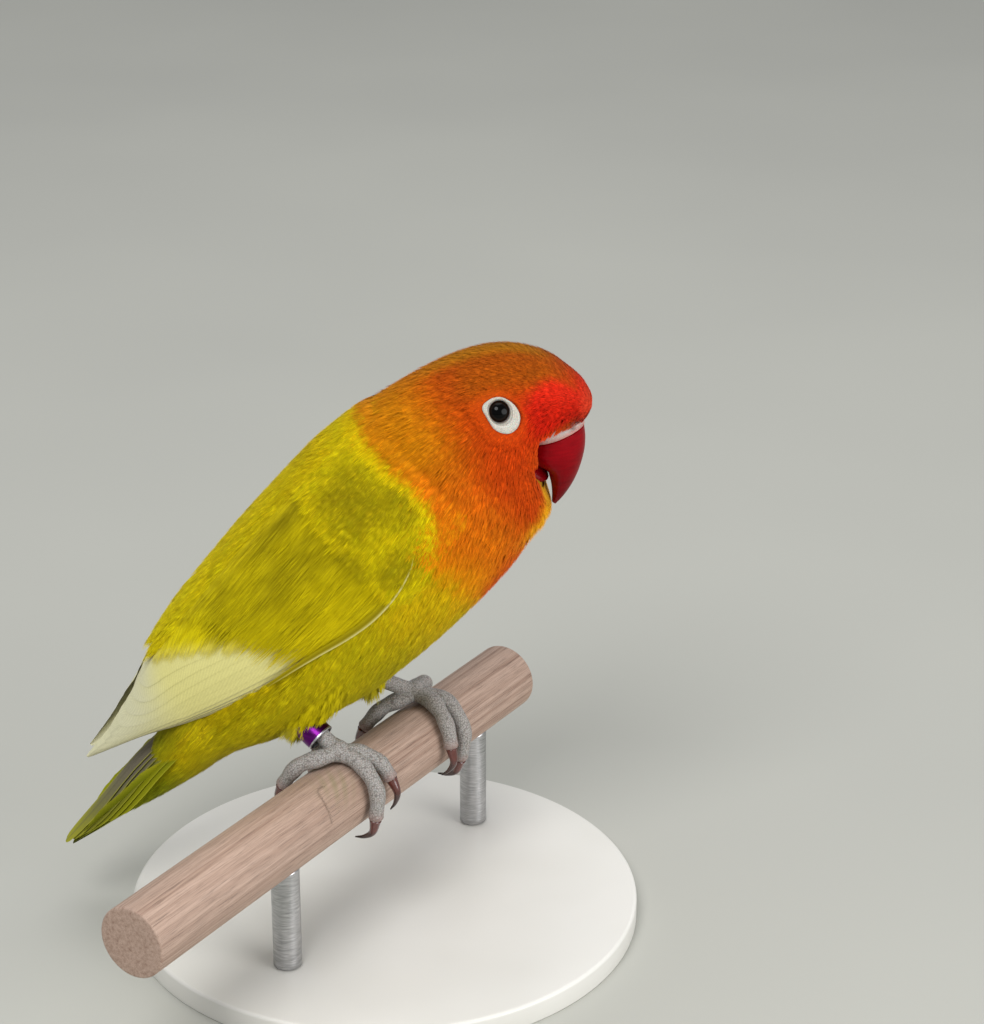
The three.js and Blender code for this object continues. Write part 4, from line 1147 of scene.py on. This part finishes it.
def makeBareSkinMaterial():
    material, tree, shader = newMaterial("bareSkin", {
        "Roughness": 0.55, "Specular IOR Level": 0.35, "Subsurface Weight": 0.2,
        "Subsurface Scale": 0.0015})
    place = objectPlace(tree)
    rim = rampNode(tree, cellEdges(tree, place, 2600.0), [(0.0, grey(0.0)), (0.12, grey(1.0))])
    tint = attributeNode(tree, "tint", "Color")
    base = shaded(tree, tint, noise(tree, place, 700.0, 4.0), 0.3, 0.7, 0.86)
    deep = mixColours(tree, 1.0, base, colour((0.72, 0.68, 0.66)), "MULTIPLY")
    tree.links.new(mixColours(tree, rim, deep, base), shader.inputs["Base Color"])
    addBump(tree, shader, rim, 0.3, 0.00005)
    return material


bareSkinMaterial = makeBareSkinMaterial()
cereSettings = {"tone": paint(196, 140, 130), "front": paint(206, 186, 180), "bulge": 0.03,
                "nostril": paint(90, 50, 44), "nostrilAngle": 48.0, "nostrilSize": 6.5,
                "nostrilDepth": 0.16}


def makeCere():
    look = cereSettings
    rings, place, turn = billRings(cereSections, 26, 96)
    place = place[:, None]
    tint = layered(look["tone"], rings.shape[:2], (look["front"], hump(place, 0.62, 0.2)))
    middle = rings.mean(1, keepdims=True)
    rings = middle + (rings - middle) * (1 + look["bulge"] * np.sin(place * math.pi))[..., None]
    for sign in (-1, 1):
        away = np.hypot(wrapped(np.degrees(turn) - look["nostrilAngle"] * sign), (place - 0.5) * 26)
        dip = look["nostrilDepth"] * hump(away, 0, look["nostrilSize"])
        rings = rings + (middle - rings) * dip[..., None]
        # the nostrils are painted dark: painted shade in their openings
        tint = mixTint(tint, look["nostril"], 0.85 * hump(away, 0, 4.6))
    return makeSolid("cereSkin", toFrame(rings), bareSkinMaterial, "cere", ["cere"], tint=tint)


makeCere()


def makeEyeMaterial():
    material, tree, shader = newMaterial("wetEye", {"Roughness": 0.07, "Specular IOR Level": 0.12})
    place = attributeNode(tree, "iris")
    parts = node(tree, "ShaderNodeSeparateXYZ", {"Vector": place})
    base = rampNode(tree, parts.outputs[2], [
        (0.0, paint(1, 1, 1)), (0.40, paint(2, 1, 1)), (0.46, paint(20, 12, 8)),
        (0.60, paint(34, 20, 12)), (0.68, paint(18, 11, 8)), (0.8, paint(10, 8, 7))])
    painted = shaded(tree, base, noise(tree, place, 14.0, 3.0), 0.35, 0.65, 0.6)
    tree.links.new(painted, shader.inputs["Base Color"])
    return material


eyeMaterial = makeEyeMaterial()


def sphere(polar, turn):
    flat = np.sin(polar)
    return np.stack([flat * np.cos(turn), flat * np.sin(turn), np.cos(polar) + 0 * turn], -1)


def makeEye(side):
    here, look, ahead, above = eyeSeat(side)
    polar = np.linspace(0.02, math.pi * 0.98, 60)[:, None]
    turn = circle(72)[None, :]
    bulge = (eyeSettings["radius"] - 0.04) * (1 + 0.035 * hump(polar, 0, 0.5))
    rings = here - look * eyeSettings["depth"] \
        + bulge[..., None] * (sphere(polar, turn) @ np.array([ahead, above, look]))
    iris = np.stack(np.broadcast_arrays(np.cos(turn), np.sin(turn), np.clip(polar / 1.1, 0, 1)), -1)
    iris = np.concatenate([iris.reshape(-1, 3), [[0, 0, 0]], [[0, 0, 1]]])
    return makeSolid(f"eyeball{side}", toFrame(rings), eyeMaterial, "eye", [f"eye_{side.lower()}"],
                     layers={"iris": iris})


# Bare lids: an inner lip against the eye, a groove, and a fleshy egg-shaped ring
lidColours = {"ring": paint(202, 198, 187), "lip": paint(96, 88, 84), "shade": paint(150, 142, 134)}


def makeLids(side):
    here, look, ahead, above = eyeSeat(side)
    around, steps = 200, 40
    turn = circle(around)[None, :]
    s = np.linspace(0, 1, steps)[:, None]
    reach = ringReach(turn) * 1.06
    openings = eyeSettings["openingLong"] * np.cos(turn), eyeSettings["openingHigh"] * np.sin(turn)
    rims = [reach * wave(turn) + away for wave, away in zip((np.cos, np.sin), eyeSettings["ringMiddle"])]
    x, y = [blend(opening, rim, s) for opening, rim in zip(openings, rims)]
    eyeTop = np.sqrt(np.clip(eyeSettings["radius"] ** 2 - x ** 2 - y ** 2, 0, None)) - eyeSettings["depth"]
    skinTop = -(x ** 2 + y ** 2) / 34
    onEye = ramp(0.35 - s, 0, 0.3)
    height = np.maximum(skinTop, (eyeTop + 0.02) * onEye + skinTop * (1 - onEye))
    lip = 0.30 * hump(s, 0.10, 0.07)
    groove = -0.10 * hump(s, 0.24, 0.05)
    flesh = eyeSettings["ringHeight"] * np.sin(np.clip((s - 0.2) / 0.8, 0, 1) * math.pi) ** 0.7
    rows = 0.045 * np.sin(s * 44 + 1.5 * np.sin(turn * 3)) * window(s, 0.25, 0.4, 0.8, 1.0)
    spokes = 0.022 * np.sin(turn * 52 + 3 * np.sin(s * 9)) * window(s, 0.2, 0.4, 0.75, 1.0)
    tuck = -1.5 * ramp(s, 0.86, 1.0) - 0.5 * ramp(0.05 - s, 0, 0.05)
    height = height + lip + groove + flesh + rows + spokes + tuck
    points = here + np.stack([x, y, height], -1) @ np.array([ahead, above, look])
    tint = layered(lidColours["ring"], height.shape, (lidColours["lip"], ramp(0.2 - s, 0, 0.12)),
                   (lidColours["shade"], 0.7 * hump(s, 0.26, 0.05)))
    quads = gridQuads(steps, around, closed=True)
    corners = points.reshape(-1, 3)[quads]
    normal = np.cross(corners[:, 1] - corners[:, 0], corners[:, 2] - corners[:, 0]).sum(0)
    quads = quads[:, ::-1] if normal @ look < 0 else quads
    return makePiece(f"lids{side}", toFrame(points), [quads], bareSkinMaterial, "cere", tint=tint)


for side in sides:
    makeEye(side)
    makeLids(side)

# Legs and feet
print("legs, feet and claws")
perchRadius = 7.5
perchYaw = math.radians(32)
perchAlong = np.array([math.sin(perchYaw), math.cos(perchYaw), 0])
perchAcross = np.array([math.cos(perchYaw), -math.sin(perchYaw), 0])
meshGap = 0.3
legSettings = {
    "Right": {
        "heel": (-16.8, -9, 16.4), "thighBack": (-8, -10.5, 30), "foot": (-16.2, 0),
        "toes": [[(-13.4, -18), (-12, -50), (-11.6, -86)], [(-12.9, 20), (-11, 44), (-10.2, 68)],
                 [(-15.6, 32), (-15.8, 70), (-16.6, 108)], [(-19.6, -12), (-22.4, -36), (-23.4, -74)]]},
    "Left": {
        "heel": (-3.6, 11.2, 15.8), "thighBack": (-1, 10.5, 31), "foot": (15.4, -11),
        "toes": [[(13.6, -16), (9.6, -42), (6.4, -72)], [(14.4, 24), (12.8, 56), (12, 84)],
                 [(17.8, 30), (17.4, 74), (16.6, 114)], [(21.4, -20), (24, -56), (25.6, -92)]]},
}
footSettings = {"toeRadius": 1.95, "tarsusRadius": 1.75, "palmRadius": 2.4, "tipReach": 0.4,
                "voxel": 0.13, "plateSize": 0.5, "plateHeight": 0.05}


def onPerch(along, angle, out):
    turn = math.radians(angle)
    return along * perchAlong + out * math.sin(turn) * perchAcross + np.array([0, 0, out * math.cos(turn)])


# Centripetal curve through points, evenly spaced by length
def smoothPath(places, count):
    places = np.asarray(places, float)
    places = np.concatenate([[2 * places[0] - places[1]], places, [2 * places[-1] - places[-2]]])
    found = []
    for i in range(1, len(places) - 2):
        four = list(places[i - 1:i + 3])
        knots = np.cumsum([0.0] + [np.linalg.norm(b - a) ** 0.5 for a, b in zip(four, four[1:])])
        k = np.linspace(knots[1], knots[2], 40)[:, None]
        for span in (1, 2, 3):  # neighbours are blended until one row is left
            ends = zip(knots, knots[span:]) if span < 3 else [(knots[1], knots[2])]
            four = [blend(a, b, (k - low) / (high - low))
                    for (low, high), a, b in zip(ends, four, four[1:])]
        found.append(four[0])
    fine = np.concatenate(found)
    steps = np.concatenate([[0], np.cumsum(np.linalg.norm(np.diff(fine, axis=0), axis=1))])
    keep = np.concatenate([[True], np.diff(steps) > 1e-9])
    wanted = np.linspace(0, steps[-1], count)
    return np.stack([np.interp(wanted, steps[keep], fine[keep, i]) for i in range(3)], -1)


def tubeRings(path, radius, around):
    tangent = unit(np.gradient(path, axis=0))
    normals = []
    normal = np.cross(tangent[0], [0.3, 0.2, 1.0])
    for direction in tangent:
        normal = normal - direction * (normal @ direction)
        normal = normal / np.linalg.norm(normal)
        normals.append(normal)
    normals = np.array(normals)
    binormals = np.cross(tangent, normals)
    turn = circle(around)[None, :, None]
    return path[:, None] + np.asarray(radius)[:, None, None] * (
        np.cos(turn) * normals[:, None] + np.sin(turn) * binormals[:, None])


# Cells round jittered seeds: distances to the nearest and the second nearest. Primes mix a cell's
# place and the seed into a fixed scatter.
cellPrimes = (73856093, 19349663, 83492791)
seedPrime = 2654435
jitterPrimes = (1103, 6151, 3571)
jitterSteps = 1009


def cellular(points, size, seed):
    scaled = points / size
    cell = np.floor(scaled).astype(np.int64)
    first, second = np.full((2, len(points)), 9.0)
    for step in np.ndindex(3, 3, 3):
        c = cell + np.array(step) - 1
        mixed = np.bitwise_xor.reduce(c * cellPrimes, 1) ^ (seed * seedPrime)
        jitter = (mixed[:, None] * jitterPrimes % jitterSteps) / jitterSteps
        distance = np.linalg.norm(c + 0.12 + 0.76 * jitter - scaled, axis=-1)
        closer = distance < first
        second = np.where(closer, first, np.minimum(second, distance))
        first = np.where(closer, distance, first)
    return first, second


def legLine(leg):
    palm = onPerch(*leg["foot"], perchRadius + meshGap + 2.5)
    heel = np.array(leg["heel"], float)
    return palm, heel, unit(heel - palm)


def toePath(leg, toe):
    out = perchRadius + meshGap + footSettings["toeRadius"] + 0.1
    path = [onPerch(*leg["foot"], out + 0.35)] + [onPerch(a, b, out) for a, b in toe]
    path.append(path[-1] + unit(path[-1] - path[-2]) * footSettings["tipReach"])
    return path


def makeFootMaterial():
    material, tree, shader = newMaterial("scalySkin", {
        "Roughness": 0.6, "Specular IOR Level": 0.35, "Subsurface Weight": 0.1, "Subsurface Scale": 0.001})
    tint = attributeNode(tree, "tint", "Color")
    fine = cellEdges(tree, objectPlace(tree), 4200.0)
    tree.links.new(shaded(tree, tint, fine, 0.0, 0.15, 0.82), shader.inputs["Base Color"])
    addBump(tree, shader, fine, 0.35, 0.00008)
    return material


footMaterial = makeFootMaterial()
footColours = {"plate": paint(152, 148, 143), "rim": paint(176, 172, 168), "groove": paint(120, 114, 109),
               "toeTip": paint(146, 116, 108)}


def readMesh(items, key, width, kind):
    values = np.empty(len(items) * width, kind)
    items.foreach_get(key, values)
    return values


# Melts the toes, the palm and the shank into one smooth skin; its points come in millimetres
def meltTogether(shapes, name):
    points, quads, fans, first = [], [], [], 0
    for rings in shapes:
        p, q, f = ringSkin(rings)
        points.append(p)
        quads.append(q + first)
        fans.append(f + first)
        first += len(p)
    rough = makePiece(name, np.concatenate(points) * millimetre,
                      [np.concatenate(quads), np.concatenate(fans)], footMaterial)
    remesh = rough.modifiers.new("remesh", "REMESH")
    remesh.mode = "VOXEL"
    remesh.voxel_size = footSettings["voxel"] * 1.0 * millimetre
    smooth = rough.modifiers.new("smooth", "SMOOTH")
    smooth.factor = 0.5
    smooth.iterations = 5
    evaluated = rough.evaluated_get(bpy.context.evaluated_depsgraph_get())
    made = evaluated.to_mesh()
    points = readMesh(made.vertices, "co", 3, np.float32).reshape(-1, 3).astype(float) / millimetre
    normals = readMesh(made.vertices, "normal", 3, np.float32).reshape(-1, 3)
    corners = readMesh(made.loops, "vertex_index", 1, np.int32)
    totals = readMesh(made.polygons, "loop_total", 1, np.int32)
    evaluated.to_mesh_clear()
    bpy.data.objects.remove(rough)
    faces = [corners[np.repeat(totals == size, totals)].reshape(-1, size) for size in (4, 3)
             if (totals == size).any()]
    return points, normals, faces


def makeFoot(side):
    leg = legSettings[side]
    palm, heel, _ = legLine(leg)
    shapes = []
    s = np.linspace(0, 1, 60)
    radius = footSettings["toeRadius"] * (1 - 0.16 * s) * (1 + 0.06 * np.cos(s * 6 * math.pi))
    radius = radius * np.sqrt(np.clip(1 - ((s - 0.93) / 0.075).clip(0) ** 2, 0.05, 1))
    for toe in leg["toes"]:
        shapes.append(tubeRings(smoothPath(toePath(leg, toe), 60), radius - 0.06, 24))
    shank = smoothPath([palm, blend(palm, heel, 0.5), heel], 40)
    radius = footSettings["tarsusRadius"] * (1 + 0.22 * hump(np.linspace(0, 1, 40), 0, 0.12))
    shapes.append(tubeRings(shank, radius - 0.05, 24))
    polar = np.linspace(0.05, math.pi - 0.05, 20)[:, None]
    turn = circle(24)[None, :]
    shapes.append(palm + footSettings["palmRadius"] * sphere(polar, turn))
    points, normals, faces = meltTogether(shapes, f"rough{side}")
    near, far = cellular(points, footSettings["plateSize"], 7)
    plate = ramp(far - near, 0.03, 0.42)
    radial = np.linalg.norm(points - np.outer(points @ perchAlong, perchAlong), axis=1)
    offPerch = ramp(radial - perchRadius, 0.35, 1.3)
    points = points + normals * (footSettings["plateHeight"] * (plate - 0.5) * offPerch)[:, None]
    tint = layered(footColours["groove"], plate.shape, (footColours["rim"], ramp(plate, 0.08, 0.5)),
                   (footColours["plate"], 0.75 * ramp(plate, 0.55, 0.98)))
    for toe in leg["toes"]:
        reach = np.linalg.norm(points - toePath(leg, toe)[-1], axis=1)
        tint = mixTint(tint, footColours["toeTip"], 0.7 * ramp(3.4 - reach, 0, 2.2))
    name = side.lower()
    return makePiece(f"foot{side}", toFrame(points), faces, footMaterial, "foot_skin",
                     [f"foot_{name}", f"tarsus_{name}"], tint=tint)


def makeClawMaterial():
    material, tree, shader = newMaterial("clawHorn", {
        "Roughness": 0.22, "Coat Weight": 0.5, "Coat Roughness": 0.08})
    tint = attributeNode(tree, "tint", "Color")
    lines = noise(tree, objectPlace(tree), 1500.0, 3.0)
    tree.links.new(shaded(tree, tint, lines, 0.3, 0.7, 0.7), shader.inputs["Base Color"])
    return material


clawMaterial = makeClawMaterial()
clawSettings = {"turn": 42.0, "root": paint(94, 44, 36), "middle": paint(62, 33, 27),
                "tip": paint(34, 20, 18)}


def makeClaw(side, number):
    leg, look = legSettings[side], clawSettings
    toe = leg["toes"][number]
    (before, _), (along, angle) = toe[-2:]
    turn = 1 if angle > 0 else -1
    drift = min(max((along - before) / 6, -1.2), 1.2)
    places = [toePath(leg, toe)[-2]]
    for s in (0.35, 0.7, 1.0):
        out = perchRadius + meshGap + 1.75 + 1.5 * math.sin(math.pi * min(s, 0.8)) - 0.9 * s
        places.append(onPerch(along + drift * s, angle + turn * 3.4 + turn * look["turn"] * s, out))
    s = np.linspace(0, 1, 40)
    rings = tubeRings(smoothPath(places, 40), blend(1.3, 0.16, s ** 0.85), 20)
    tint = layered(look["root"], rings.shape[:2], (look["middle"], ramp(s, 0.25, 0.5)[:, None]),
                   (look["tip"], ramp(s, 0.6, 1.0)[:, None]))
    return makeSolid(f"claw{side}{number + 1}", toFrame(rings), clawMaterial, "claw",
                     [f"claw_{side.lower()}_{number + 1}"], tint=tint)


for side in sides:
    makeFoot(side)
    for number in range(4):
        makeClaw(side, number)

# Feathered thighs: soft tufts that hang round each heel
print("thigh feathers")
thighSettings = {"hem": 2.4, "radius": 5.6, "count": 1500, "length": 5.2, "width": 1.7, "strands": 9}


def makeThigh(side):
    look = thighSettings
    rng = np.random.default_rng(90 + sides[side])
    leg = legSettings[side]
    _, heel, up = legLine(leg)
    back = np.array(leg["thighBack"], float)
    course = unit(back - heel)
    hem = heel - course * look["hem"]
    around = unit(np.cross(course, [0, 1, 0.2]))
    other = np.cross(course, around)
    count = look["count"]
    s = rng.uniform(0.02, 1.1, count)
    turn = rng.uniform(0, 2 * math.pi, count)
    radius = look["radius"] * (0.30 + 0.62 * np.sin(np.minimum(s * 1.6, 1) * math.pi / 2)) - 0.8
    spoke = np.cos(turn)[:, None] * around + np.sin(turn)[:, None] * other
    root = hem + s[:, None] * (back - hem) + spoke * radius[:, None]
    shapes = np.stack([tuftTemplate(look["strands"], 0.5, rng) for _ in range(8)])
    shape = shapes[rng.integers(0, 8, count)]
    length = look["length"] * rng.uniform(0.7, 1.1, count)
    along, q = shape[..., 0], shape[..., 1]
    lay = unit(-course + 0.12 * spoke - 0.15 * up + rng.normal(0, 0.12, (count, 3)))
    points = perStrand(root) + (along * perStrand(length))[..., None] * perStrand(lay) \
        + (q * look["width"] / 2)[..., None] * perStrand(np.cross(spoke, course)) \
        + (0.9 * along * (1 - along))[..., None] * perStrand(spoke)
    tint = layered(plumage["flank"], s.shape, (plumage["vent"], 0.45 * ramp(0.3 - s, 0, 0.3)))
    tint = tint * np.exp(rng.normal(0, 0.1, (count, 1)))
    bake = np.stack([0.01 + 0.98 * perStrand(s) + 0.0015 * q,
                     0.01 + 0.98 * perStrand(turn / (2 * math.pi)) + 0.003 * (along - 0.5)], -1)
    # strands darken towards the root: partly the grey down of the feathers, partly painted shade
    return makePiece(f"thighFeathers{side}", toFrame(points), strandFaces(count * look["strands"]),
                     coatMaterial, "body_feathers", [f"thigh_{side.lower()}"],
                     tint=perStrand(tint) * blend(0.75, 1.05, along)[..., None], bakePlace=bake)


for side in sides:
    makeThigh(side)

# The closed leg ring
print("leg ring, perch and stand")
ringSettings = {"inner": 2.75, "outer": 3.2, "length": 5.0, "along": 0.62, "rim": 0.4, "soft": 0.12,
                "groove": 0.03, "metal": paint(206, 204, 210), "band": paint(104, 30, 116)}


def makeLathe(profile, around, middle, axis):
    axis = unit(np.asarray(axis, float))
    first = unit(np.cross(axis, [0.3, 1, 0.2]))
    second = np.cross(axis, first)
    turn = circle(around)
    profile = np.asarray(profile, float)
    spoke = np.cos(turn)[:, None] * first + np.sin(turn)[:, None] * second
    return middle + profile[:, None, :1] * spoke[None] + profile[:, None, 1:] * axis


def makeRingMaterial():
    material, tree, shader = newMaterial("anodisedRing", {"Roughness": 0.3, "Metallic": 1.0})
    tint = attributeNode(tree, "tint", "Color")
    scratch = noise(tree, objectPlace(tree, (300, 300, 2600)), 1.0, 5.0)
    tree.links.new(shaded(tree, tint, scratch, 0.35, 0.65, 0.72), shader.inputs["Base Color"])
    addRoughness(tree, shader, scratch, 0.22, 0.42)
    return material


def makeLegRing():
    look = ringSettings
    palm, heel, up = legLine(legSettings["Right"])
    sag = unit(np.array([0, 0, -1.0]) + up * up[2])
    slack = look["inner"] - footSettings["tarsusRadius"] - meshGap
    middle = blend(palm, heel, look["along"]) + sag * slack
    inner, outer, half, soft = look["inner"], look["outer"], look["length"] / 2, look["soft"]
    rim, groove = half - look["rim"], look["groove"]
    profile = [(inner, half - soft), (inner + soft, half), (outer - soft, half), (outer, half - soft),
               (outer, rim), (outer - groove, rim - groove)]  # its upper half
    profile = [(r, -h) for r, h in profile] + profile[::-1] + [(inner, soft - half)]
    rings = makeLathe(profile, 96, middle, up)
    tint = layered(look["metal"], rings.shape[:2])
    tint[5:7] = look["band"]
    quads = gridQuads(len(profile), 96, closed=True)
    return makePiece("legRing", toFrame(rings), [quads], makeRingMaterial(), "leg_ring", ["leg_ring"],
                     smooth=False, tint=tint)


makeLegRing()

# The perch: a dowel with long grain, a curved check with painted shade in it, and a little dirt by the
# right foot
perchSettings = {"near": -85.0, "far": 50.0, "bevel": 0.5, "steps": 420, "around": 150,
                 "crack": ((-25.5, 20), (-27.6, 22), (-28.6, 42), (-29.2, 78))}


def makeWoodMaterial():
    material, tree, shader = newMaterial("dowelWood", {"Roughness": 0.62, "Specular IOR Level": 0.3})
    place = attributeNode(tree, "grain")
    streaks = noise(tree, stretched(tree, place, (1.0, 9.0, 9.0)), 1.1, 8.0, Roughness=0.62, Distortion=0.2)
    fine = noise(tree, stretched(tree, place, (14.0, 110.0, 110.0)), 1.0, 5.0)
    base = rampNode(tree, streaks, [(0.28, paint(140, 110, 94)), (0.45, paint(168, 142, 126)),
                                    (0.62, paint(184, 158, 142)), (0.8, paint(160, 130, 114))])
    painted = shaded(tree, base, fine, 0.36, 0.48, 0.5)
    # the mesh's tint carries the check's painted shade in red and the dirt in green
    crackShadeAndDirt = node(tree, "ShaderNodeSeparateColor", {"Color": attributeNode(tree, "tint", "Color")}).outputs
    painted = mixColours(tree, crackShadeAndDirt[1], painted, colour(paint(126, 122, 84)))
    # the check is painted dark brown: painted shade inside the crack
    painted = mixColours(tree, crackShadeAndDirt[0], painted, colour(paint(74, 60, 44)))
    tree.links.new(painted, shader.inputs["Base Color"])
    addBump(tree, shader, fine, 0.35, 0.00012)
    return material


def makePerch():
    look, radius, bevel = perchSettings, perchRadius, perchSettings["bevel"]
    corner = np.linspace(0, math.pi / 2, 5)[:-1]
    caps = [(r, look["near"]) for r in (0.15, 2.4, 4.8)]
    caps += [(radius - bevel + bevel * math.sin(c), look["near"] + bevel - bevel * math.cos(c))
             for c in corner]
    far = [(r, look["near"] + look["far"] - h) for r, h in caps[::-1]]
    along = np.linspace(look["near"] + bevel, look["far"] - bevel, look["steps"])
    r, h = np.array(caps + [(radius, a) for a in along] + far).T[..., None]
    turn = circle(look["around"])[None, :]
    angle = np.degrees(np.arctan2(np.sin(turn), np.cos(turn)))
    arc = radius / 57.3  # millimetres round the perch to a degree
    away = np.full(np.broadcast(h, angle).shape, 9.0)
    for point in smoothPath([(at, degrees * arc, 0) for at, degrees in look["crack"]], 60):
        away = np.minimum(away, np.hypot(h - point[0], angle * arc - point[1]))
    crack = 0.75 * hump(away, 0, 0.22)
    dirt = hump(h, -22.5, 4.5) * hump(angle, 30, 34) * (0.55 + 0.45 * np.sin(h * 2.1 + angle * 0.2))
    wobble = 0.02 * np.sin(angle / 7 + 1.3 * np.sin(h * 0.02)) * np.sin(angle / 3.1)
    r = np.where(r > radius - 0.02, r - 0.03 - 0.25 * crack + wobble, r)
    rings = h[..., None] * perchAlong + (r * np.sin(turn))[..., None] * perchAcross
    rings = rings + (r * np.cos(turn))[..., None] * np.array([0, 0, 1.0])
    grain = np.stack([h * 0.012 + 0 * turn, r * np.sin(turn) / radius, r * np.cos(turn) / radius], -1)
    # red: painted shade in the check; green: dirt
    tint = np.stack([np.clip(crack * 0.8, 0, 1), np.clip(dirt * 0.5, 0, 1), 0 * crack], -1)
    grain = np.concatenate([grain.reshape(-1, 3), grain[[0, -1]].mean(1)])
    return makeSolid("perchDowel", toFrame(rings), makeWoodMaterial(), "perch_wood", ["perch"], tint=tint,
                     layers={"grain": grain})


makePerch()

standSettings = {"radius": 55.0, "thickness": 5.0, "bevel": 0.8, "floorEdge": 0.3,
                 "rodRadius": 3.0, "rodBevel": 0.25, "rods": (-36.0, 36.0)}


def makePaintMaterial():
    material, tree, shader = newMaterial("satinPaint", {
        "Roughness": 0.42, "Coat Weight": 0.15, "Coat Roughness": 0.3})
    cloud = noise(tree, objectPlace(tree), 30.0, 2.0)
    painted = rampNode(tree, cloud, [(0.3, paint(214, 212, 205)), (0.7, paint(222, 220, 214))])
    tree.links.new(painted, shader.inputs["Base Color"])
    addBump(tree, shader, noise(tree, objectPlace(tree), 900.0, 4.0), 0.12, 0.0001)
    return material


def makeSteelMaterial():
    material, tree, shader = newMaterial("brushedSteel", {"Roughness": 0.32, "Metallic": 1.0})
    lines = noise(tree, objectPlace(tree, (400, 400, 6000)), 1.0, 4.0)
    painted = rampNode(tree, lines, [(0.3, paint(150, 150, 152)), (0.7, paint(205, 205, 206))])
    tree.links.new(painted, shader.inputs["Base Color"])
    addRoughness(tree, shader, lines, 0.25, 0.42)
    return material


def makeStand():
    look = standSettings
    radius, top, bevel, floorEdge = look["radius"], look["thickness"], look["bevel"], look["floorEdge"]
    edge = [(radius - bevel + bevel * math.sin(a), top - bevel + bevel * math.cos(a))
            for a in np.linspace(0, math.pi / 2, 8)]
    foot = [(radius - floorEdge + floorEdge * math.cos(a), floorEdge - floorEdge * math.sin(a))
            for a in np.linspace(0, math.pi / 2, 4)]
    inner = (0.5, 15, 30, 45)
    profile = [(r, top) for r in inner] + edge + foot + [(r, 0.0) for r in inner[::-1]]
    rings = makeLathe(profile, 160, np.zeros(3), (0, 0, 1)) * millimetre
    makeSolid("standBase", rings, makePaintMaterial(), "stand_base", ["stand_base"])
    steel = makeSteelMaterial()
    for name, along in zip(("near", "far"), look["rods"]):
        makeRod(name, onPerch(along, 0, 0), steel)


def makeRod(name, base, steel):  # from the base's top up to the hollow that clears the perch
    radius, soft = standSettings["rodRadius"], standSettings["rodBevel"]
    floor = standSettings["thickness"] + meshGap - perchAxisHeight / millimetre
    turn = circle(64)
    spoke = np.stack([np.cos(turn), np.sin(turn), 0 * turn], -1)

    def ring(r, share):
        off = spoke * r - np.outer(spoke * r @ perchAlong, perchAlong)
        ceiling = -np.sqrt((perchRadius + meshGap) ** 2 - (off ** 2).sum(1))
        return base + spoke * r + blend(floor + soft, ceiling, share)[:, None] * np.array([0, 0, 1.0])

    rows = [base * (1, 1, 0) + spoke * r + np.array([0, 0, floor]) for r in (0.2, radius - soft)]
    rows += [ring(radius, share) for share in np.linspace(0, 1, 24)] + [ring(r, 1.0) for r in (1.5, 0.1)]
    makeSolid(f"standRod_{name}", toFrame(rows), steel, "stand_rod", [f"stand_rod_{name}"])


makeStand()

# Camera, light and floor
print("camera, lights and floor")
cameraSettings = {"place": (0.0234, -0.51248, 0.30989), "pitch": 22.8, "focalPixels": 2700.0,
                  "imageHeight": 1024.0, "sensor": 36.0, "nearest": 0.01}
studioSettings = {"sky": (0.9, 0.92, 0.95, 1), "strength": 0.47, "lookAt": (0, 0, 0.09)}
lightSettings = {
    "key": {"place": (-0.30, -0.75, 0.95), "size": 0.55, "energy": 7.6},
    "fill": {"place": (0.8, -0.6, 0.34), "size": 0.8, "energy": 7.0},
    "top": {"place": (0.0, 0.25, 1.3), "size": 1.2, "energy": 6.6}}


def makeFloor():
    size = 6.0
    points = np.array([[-size, -size, 0], [size, -size, 0], [size, size, 0], [-size, size, 0]])
    material, tree, shader = newMaterial("paleFloor", {"Roughness": 0.85, "Specular IOR Level": 0.2})
    cloud = noise(tree, objectPlace(tree), 3.0, 3.0)
    painted = rampNode(tree, cloud, [(0.3, paint(174, 174, 167)), (0.7, paint(182, 182, 174))])
    tree.links.new(painted, shader.inputs["Base Color"])
    mesh = bpy.data.meshes.new("floor")
    mesh.from_pydata(points.tolist(), [], [[0, 1, 2, 3]])
    mesh.materials.append(material)
    floor = addObject("floor", mesh)


makeFloor()
for name, light in lightSettings.items():
    data = bpy.data.lights.new(name, "AREA")
    data.shape = "DISK"
    data.size = light["size"]
    data.energy = light["energy"]
    lamp = addObject(name, data)
    lamp.location = light["place"]
    toModel = Vector(studioSettings["lookAt"]) - lamp.location
    lamp.rotation_euler = toModel.to_track_quat("-Z", "Y").to_euler()
world = bpy.data.worlds.new("studio")
world.use_nodes = True
sky = world.node_tree.nodes["Background"].inputs
sky["Color"].default_value = studioSettings["sky"]
sky["Strength"].default_value = studioSettings["strength"]
bpy.context.scene.world = world
bpy.context.scene.view_settings.view_transform = "Standard"

lens = bpy.data.cameras.new("view")
lens.sensor_width = cameraSettings["sensor"]
lens.lens = cameraSettings["focalPixels"] / cameraSettings["imageHeight"] * cameraSettings["sensor"]
lens.clip_start = cameraSettings["nearest"]
camera = addObject("view", lens)
camera.location = cameraSettings["place"]
camera.rotation_euler = (math.radians(90 - cameraSettings["pitch"]), 0, 0)
bpy.context.scene.camera = camera
